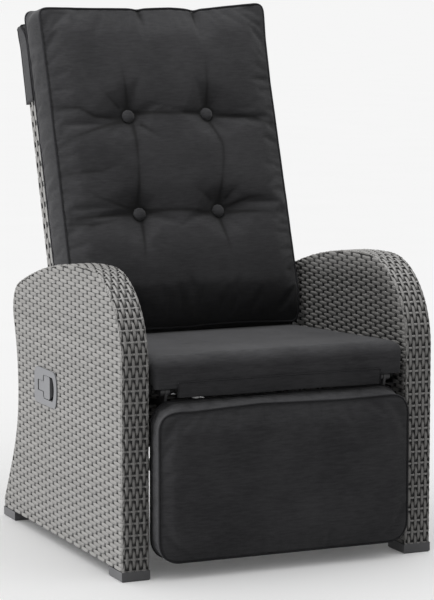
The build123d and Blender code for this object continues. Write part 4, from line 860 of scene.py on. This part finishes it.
# Its outline, as (x, v) along its top and foot and (v, x) up its sides
TOP_EDGE = ((-258, 771), (-150, 768), (-46, 766), (-36, 760), (-26, 766), (38, 767), (80, 764), (92, 757),
            (104, 763), (172, 769), (262, 777))
FOOT_EDGE = ((-256, 71), (-150, 72), (0, 70), (60, 73), (140, 73), (256, 68))
RIGHT_EDGE = ((70, 264), (150, 263), (250, 262), (400, 260), (600, 257.5), (700, 259), (760, 263))
LEFT_EDGE = ((70, 258), (300, 258), (600, 259), (771, 262))
# Its folds: a line of (x, v) points, the depths along it, and how far it spreads
FOLDS = (
    (((-78, 533), (0, 529), (78, 530)), (8, 4.5, 8), 15),
    (((104, 523), (203, 518), (254, 496)), (9, 4.5, 0), 14),
    (((-106, 516), (-158, 503), (-246, 477)), (8, 4, 0), 14),
    (((-108, 522), (-170, 528), (-202, 547), (-256, 553)), (5, 4, 3, 1), 12),
    (((-76, 318), (1, 317), (78, 308)), (8, 4.5, 8), 15),
    (((-104, 314), (-246, 309)), (8, 1.5), 14),
    (((-150, 300), (-202, 293), (-254, 298)), (1, 3.5, 1), 12),
    (((-254, 406), (-170, 407), (-124, 424)), (1.5, 3, 0), 12),
    (((-218, 374), (-178, 349), (-104, 322)), (0, 2.5, 5), 14),
    (((104, 310), (201, 307), (250, 300)), (8, 3.5, 0), 14),
    (((104, 320), (165, 339), (242, 345)), (4, 3, 0.5), 12),
    (((-84, 512), (-87, 420), (-94, 330)), (6, 2, 6), 22),
    (((94, 512), (114, 457), (112, 424), (93, 330)), (6, 2.5, 2, 6), 22),
    (((-88, 298), (-98, 199)), (6, 0), 20),
    (((92, 298), (104, 215)), (6, 0), 20),
    (((-92, 542), (-101, 640)), (5, 0), 20),
    (((92, 542), (98, 655)), (5, 0), 20),
    (((-36, 762), (-30, 722)), (6, 0), 9),
    (((92, 760), (90, 712)), (7, 0), 9),
    (((195, 600), (238, 604)), (0, 2.5), 10),
    (((224, 174), (249, 179)), (0, 2.5), 10),
    (((-66, 505), (-20, 470)), (4, 0), 12),
    (((72, 338), (30, 372)), (4, 0), 12),
    (((-112, 545), (-160, 590)), (3.5, 0), 12),
    (((110, 340), (150, 378)), (3, 0), 12),
)


def back_cushion():
    """Back cushion: a tall box that the simulation fills, then its buttons' hollows and folds."""
    a, b = np.meshgrid(np.linspace(-1, 1, 86), np.linspace(-1, 1, 112), indexing="ij")
    x, v = rounded(a * BACK_WIDE, b * BACK_HALF, BACK_WIDE, BACK_HALF, 15.0)
    a, b = x / BACK_WIDE, v / BACK_HALF
    foot, top = at(FOOT_EDGE, x), at(TOP_EDGE, x)
    v = foot + (top - foot) * (b + 1) / 2
    x = a * np.where(a > 0, at(RIGHT_EDGE, v), at(LEFT_EDGE, v))
    dome = unit((1 - np.abs(a) ** 3) * (1 - np.abs(b) ** 5)) ** 0.8
    rise = 27 * dome - 22 * unit((150 - v) / 80) ** 2
    for bx, bv in BUTTONS:
        rise = rise - 4 * bell(np.hypot(x - bx, v - bv), 26.0)
    shoulder = 5 + 7 * unit((np.abs(x) - 120) / 130)
    rear_v = v + shoulder * unit((v - 600) / 170) - 2 * unit((150 - v) / 80)
    obj, seam, rear_seam = boxed_mesh(
        "back_cushion_soft", back_point(x, v, BACK_EDGE + rise),
        back_point(x * 1.025, rear_v, np.full_like(x, BACK_REAR)), 8)
    x, v, f = back_local(coords(obj))
    hold = np.where((f < BACK_REAR + 1) | ((f < BACK_EDGE - 1) & (v < 84)), 1.0, 0.0)
    hold[seam] = 1.0
    front = f > BACK_EDGE - 6
    for bx, bv in BUTTONS:
        hold[front & (np.hypot(x - bx, v - bv) < 11)] = 1.0
    inflate(obj, hold, 8.0, pressure=4.5, slack=0.018, tension=9.0, bending=0.8)
    subdivide(obj)
    co = coords(obj)
    x, v, f = back_local(co)
    inside = np.minimum(258 - np.abs(x), np.minimum(v - 70, at(TOP_EDGE, x) - v))
    front = unit((f - BACK_EDGE + 22) / 6) * unit(inside / 16)
    across = 1 - 0.7 * np.abs(x / 258) ** 4
    groove = across * (6.5 * bell(v - 526, 44) + 6.5 * bell(v - 313, 44))
    # Painted shade for the cloth: dark lines along the folds, for the shade in them
    painted_shade = np.zeros(len(x))
    for line, depths, wide in FOLDS:
        deep, line_painted_shade = fold_and_painted_shade(x, v, line, depths, wide)
        groove += deep
        painted_shade += line_painted_shade
    for bx, bv in BUTTONS:
        r = np.hypot(x - bx, v - bv)
        groove += 8 * np.exp(-((r / 16) ** 1.3))
        # Painted shade: a dark ring round each button and a dark patch above it
        painted_shade += 0.8 * bell(r - 14, 4.0) + 0.3 * bell(np.hypot(x - bx, (v - bv - 16) * 0.8), 24.0)
    # Painted shade, darker towards the cushion's foot, and a little over the whole front
    painted_shade += 0.08 + 0.4 * unit((165 - v) / 90) ** 1.5
    low = 14 * (1 - np.exp(-groove / 14)) * front
    set_coords(obj, co - FORWARD * low[:, None] * MM)
    # The painted shade is stored per point; the whole cushion is darkened a little, its front face by all of
    # it
    layer = obj.data.attributes.new("fold_and_painted_shade", "FLOAT", "POINT")
    layer.data.foreach_set("value", unit(0.2 + painted_shade * unit((f - 60) / 30)).astype(np.float32))
    settle(obj, "backrest", ("back_cushion",))
    piping("back_cushion_piping_front", obj, seam, "backrest", FORWARD)
    piping("back_cushion_piping_rear", obj, rear_seam, "backrest", FORWARD, out=1.8, ahead=1.8)
    return obj


def button_mesh(cushion):
    """Four covered buttons, each a dome with a rolled edge and a few gathers, on the cushion's own face."""
    x, v, f = back_local(coords(cushion))
    verts, quads, tops, feet, count = [], [], [], [], 0
    # Rings of the dome from its top to its foot, as (radius, height)
    rings = ((0.4, 7.6), (4, 7.3), (8, 6.4), (11, 5), (13.2, 3), (14, 0.8), (13.4, -1.2), (11.5, -5))
    n, turns = len(rings), 36
    a = np.arange(turns) * 2 * math.pi / turns
    q = grid_quads(n, turns, close_columns=True)[:, [0, 3, 2, 1]]
    for bx, bv in BUTTONS:
        base = f[(np.hypot(x - bx, v - bv) < 15) & (f > 60)].mean() + 0.5
        for k, (radius, height) in enumerate(rings):
            r = radius + (0.25 * np.cos(a * 9 + bx) if k > 3 else 0 * a)
            verts.append(back_point(bx + r * np.cos(a), bv + r * np.sin(a), np.full(turns, base + height)))
        quads.append(q + count)
        tops.append(np.arange(turns) + count)
        feet.append((np.arange(turns) + (n - 1) * turns)[::-1] + count)
        count += n * turns
    obj = make_mesh(
        "back_cushion_button_caps", np.concatenate(verts),
        [np.concatenate(quads), np.array(tops), np.array(feet)], MATS["cushion_cloth"])
    return settle(obj, "backrest", ("back_cushion_buttons",))


button_mesh(back_cushion())


def eased(low, high, r_low, r_high, step):
    """Places from low to high, closer together where the ends are rounded."""
    a = np.linspace(0, math.pi / 2, 8)[:-1]
    head, tail = low + r_low * (1 - np.cos(a)), high - r_high * (1 - np.cos(a))
    middle = np.linspace(low + r_low, high - r_high, int((high - low - r_low - r_high) / step) + 1)
    return np.concatenate([head, middle, tail[::-1]])


def quarter(d, r):
    """How far a rounded edge of radius r has dropped at distance d from its end."""
    return r - np.sqrt(np.maximum(r**2 - (r - np.clip(d, 0, r)) ** 2, 0))


def seat_cushion():
    """Seat cushion: a flat top, a full rounded front and a lip that hangs over the frame's edge."""
    wide, front, back, top = 275.0, -56.0, 442.0, 58.5
    roll, side, rear, step = 27.0, 24.0, 14.0, 6.6
    x, v = np.meshgrid(
        eased(-wide, wide, side, side, step), eased(front, back, roll, rear, step), indexing="ij")
    drop = np.maximum(quarter(back - v, rear), quarter(wide - np.abs(x), side))
    drop = np.maximum(quarter(v - front, roll), drop)
    mid, half = (front + back) / 2, (back - front) / 2
    crown = unit((1 - np.abs(x / wide) ** 4) * (1 - np.abs((v - mid) / half) ** 4))
    w = top - drop + 2.5 * crown
    x, pv = rounded(x, v - mid, wide, half, 14.0)
    low = np.where(v < front + 10, -7.0, 1.5)
    obj, _, _ = boxed_mesh(
        "seat_cushion_soft", seat_point(x, pv + mid, w),
        seat_point(x * 0.985, (pv + mid).clip(front + 1), low), 7)
    c, s = math.cos(SEAT_SLOPE), math.sin(SEAT_SLOPE)
    q = coords(obj) / MM - np.array([0.0, SEAT_Y, SEAT_Z])
    v, w = q[:, 1] * c - q[:, 2] * s, q[:, 1] * s + q[:, 2] * c
    hold = np.where(w < 5, 1.0, 0.0)
    hold[v > back - rear] = 1.0
    hold[(v < front + 6) & (w < 45)] = 0.9
    inflate(obj, hold, 4.0)
    # Room for the panels at the sides and for the flap in front
    p = coords(obj) / MM
    p[:, 0] = np.clip(p[:, 0], -278.3, 278.3)
    p[:, 1] = np.maximum(p[:, 1], -362.0 + 2.5 * unit((384 - p[:, 2]) / 8))
    set_coords(obj, p * MM)
    subdivide(obj)
    settle(obj, "base", ("seat_cushion",))


seat_cushion()


# How far the footrest cushion's front seam sags along its top and its rear seam rises there, as (x, mm)
SEAM_SAG = ((-271, 4), (-240, 9), (-200, 10), (-130, 6.5), (-56, 3.5), (40, 6), (124, 8), (232, 6), (262, 3))
REAR_RISE = ((-271, 5), (-200, 7), (-56, 7), (124, 7.5), (232, 7.5), (271, 6))


def footrest_cushion():
    """Footrest cushion: round corners, a flat face and piping along both seams."""
    half_x, half_z, mid, rear, edge = 271.5, 153.0, 189.5, 342.0, 386.0
    a, b = np.meshgrid(np.linspace(-half_x, half_x, 92), np.linspace(-half_z, half_z, 54), indexing="ij")
    x, z = rounded(a, b, half_x, half_z, 42.0)
    rim = unit(b / half_z)
    z_front = z - at(SEAM_SAG, x) * rim**2
    z_rear = z + at(REAR_RISE, x) * rim**3
    dome = unit((1 - np.abs(a / half_x) ** 5) * (1 - np.abs(b / half_z) ** 4)) ** 0.7
    obj, seam, rear_seam = boxed_mesh(
        "footrest_cushion_soft", foot_point(x, z_front + mid, edge + 5 * dome),
        foot_point(x, z_rear + mid, np.full_like(x, rear)), 5)
    f = -coords(obj)[:, 1] / MM
    hold = np.where(f < rear + 1, 1.0, 0.0)
    hold[seam] = 1.0
    inflate(obj, hold, 6.0)
    subdivide(obj)
    settle(obj, "footrest", ("footrest_cushion",))
    facing = np.array([0.0, -1.0, 0.0])
    piping("footrest_cushion_piping_front", obj, seam, "footrest", facing)
    piping("footrest_cushion_piping_rear", obj, rear_seam, "footrest", facing, out=1.0)


footrest_cushion()


# Flap and hood
def flap():
    """Short cloth flap from a seam on the seat cushion's front to just above the footrest cushion."""
    half, top, low, thick = 221.0, 388.0, 357.0, 1.2
    to_front = np.array([0.0, -1.0, 0.0])
    x, t = np.meshgrid(np.linspace(-half, half, 90), np.linspace(0, 1, 14), indexing="ij")
    y = -363.2 + 4.2 * t + (0.5 * np.sin(x / 31.0) + 0.3 * np.sin(x / 12.0 + 1.0)) * t
    z = top + (low - top) * t + 0.5 * np.sin(x / 47.0) * t
    outer = np.stack([x, y, z], -1)
    obj, _, _ = boxed_mesh("seat_flap_cloth", outer, outer - to_front * thick, 0)
    edge = np.concatenate([outer[0, ::-1], outer[1:-1, 0], outer[-1]])
    # Hem in the dark piping cloth along the flap's top and sides: partly a real hem, partly painted shadow
    # for the shade at its edge
    hem_shadow = rope("seat_flap_hem_shadow", edge + to_front * 0.3, 0.9, "base", "cushion_cloth", to_front, 4.0)
    settle(obj, "base", ("seat_cushion_flap",))
    for piece in (obj, hem_shadow):
        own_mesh(piece)


flap()


def hood():
    """Cloth hood over the top of the backrest, with pointed upper corners and a seam along each edge."""
    rear, front, low = -13.2, 27.4, 588.0
    right = ((269.4, low), (269.4, 650), (269.2, 700), (269.4, 716), (270.5, 728), (273, 743), (277.5, 757.5),
             (262, 757), (240, 755), (120, 754))
    edge, s = resample(np.array(right + tuple((-x, v) for x, v in right[::-1])), 7.0)
    x, v = edge.T
    ear = bell(np.hypot(np.abs(x) - 277, v - 757), 15.0)
    middle = (front + rear) / 2
    ripple = (np.sin(s / 23.0) * 0.6 + np.sin(s / 9.0 + 2) * 0.25) * (1 - unit((v - low) / 60))
    # Rows of points from the middle of the front face to its edge, over it, and to the rear face's middle
    shares = np.linspace(1, 0, 10)
    path = [(share, 0.0) for share in shares] + [(0.0, k / 6) for k in range(1, 6)]
    path += [(share, 1.0) for share in shares[::-1]]
    rows = []
    for share, t in path:
        f = middle + (0.5 - t) * (front - rear) * (1 - 0.6 * ear * (1 - share) ** 12)
        rows.append(back_point(x * (1 - share), v, f + ripple * np.sign(0.5 - t)))
    q = grid_quads(len(rows), len(edge))
    verts = np.concatenate(rows)
    obj = make_mesh("backrest_hood_cloth", verts, [q], MATS["hood_cloth"])
    bm = bmesh.new()
    bm.from_mesh(obj.data)
    bmesh.ops.remove_doubles(bm, verts=bm.verts, dist=0.0006)
    bmesh.ops.dissolve_degenerate(bm, dist=0.0002, edges=bm.edges)
    bm.to_mesh(obj.data)
    bm.free()
    outward(obj)
    activate(obj)
    solid = obj.modifiers.new("solid", "SOLIDIFY")
    solid.thickness = 1.2 * MM
    solid.offset = -1
    bpy.ops.object.modifier_apply(modifier=solid.name)
    settle(obj, "backrest", ("backrest_hood",))
    seams = [
        rope("hood_seam_" + label, rows[k], 1.3, "backrest", "hood_cloth", FORWARD, 6.0)
        for label, k in (("front", len(shares) - 1), ("rear", -len(shares)))]


hood()

# CAD nodes that stay
SLOT_OF = {entry["node"]: entry["material_slot"] for entry in frame["record"]["subparts"]}
# Width of the softened edges of moulded pieces, in millimetres
BEVEL = {"lever_housing": 1.2, "lever_paddle": 1.0}
BEVEL.update(("foot_" + end + side, 0.8) for end in ("front", "rear") for side in ("_left", "_right"))
for name, obj in NODES.items():
    if name in REPLACED:
        continue
    obj.data.materials.clear()
    obj.data.materials.append(CUP_PAINTED_SHADE_PLASTIC if SLOT_OF[name] == "lever_plastic" else MATS[SLOT_OF[name]])
    mod = obj.modifiers.new("soft_edges", "BEVEL")
    mod.width = BEVEL.get(name, 0.3) * MM
    mod.segments = 3 if name in BEVEL else 2
    mod.limit_method = "ANGLE"
    mod.angle_limit = math.radians(40)
    mod.harden_normals = True

# Floor, light and camera
floor_mat, floor_tree, floor_shader = new_material("floor_paper")
tone = noise(floor_tree, object_coords(floor_tree), 3.0, 3.0)
paper = ramp(floor_tree, tone, (0.925, 0.925, 0.925), (0.935, 0.935, 0.935))
floor_tree.links.new(paper, floor_shader.inputs["Base Color"])
put(floor_shader, {
    "Roughness": 1.0, "Specular IOR Level": 0.0, "Emission Color": (1.0, 1.0, 1.0, 1.0),
    "Emission Strength": 0.065,
})
reach = 40000
floor = make_mesh(
    "studio_floor", [(-reach, -reach, 0), (reach, -reach, 0), (reach, reach, 0), (-reach, reach, 0)],
    [[[0, 1, 2, 3]]], floor_mat, False)
# The lamps' receivers: all but the floor
unlit = bpy.data.collections.new("not_lit_by_lamps")
unlit.objects.link(floor)
unlit.collection_objects[0].light_linking.link_state = "EXCLUDE"

world = bpy.data.worlds.new("studio")
STAGE.world = world
world.use_nodes = True
put(world.node_tree.nodes["Background"], {"Color": (1.0, 1.0, 1.0, 1), "Strength": 0.92})


def area_light(name, place, target, size, power):
    """Lamp that lights the chair and not the floor."""
    data = bpy.data.lights.new(name, "AREA")
    data.shape = "RECTANGLE"
    data.size, data.size_y = size
    data.energy = power
    obj = bpy.data.objects.new(name, data)
    STAGE.collection.objects.link(obj)
    obj.location = place
    obj.rotation_mode = "QUATERNION"
    obj.rotation_quaternion = (Vector(target) - Vector(place)).to_track_quat("-Z", "Y")
    obj.light_linking.receiver_collection = unlit


area_light("side_light", (-5.0, 0.1, 0.6), (0, 0.1, 0.55), (1.6, 0.8), 480)
area_light("top_light", (-0.2, 0.1, 4.2), (0, 0.1, 0.5), (2.4, 2.4), 290)

camera_data = bpy.data.cameras.new("view_camera")
camera = bpy.data.objects.new("view_camera", camera_data)
STAGE.collection.objects.link(camera)
camera.location = (-2.247, -5.114, 1.241)
camera.rotation_mode = "QUATERNION"
camera.rotation_quaternion = (Vector((0, -0.016, 0.5)) - camera.location).to_track_quat("-Z", "Y")
camera_data.lens, camera_data.sensor_width = 161.3, 36.0
camera_data.shift_x, camera_data.shift_y = 0.0108, -0.0028
camera_data.clip_start, camera_data.clip_end = 0.1, 60.0
STAGE.camera = camera
STAGE.view_settings.view_transform = "Standard"
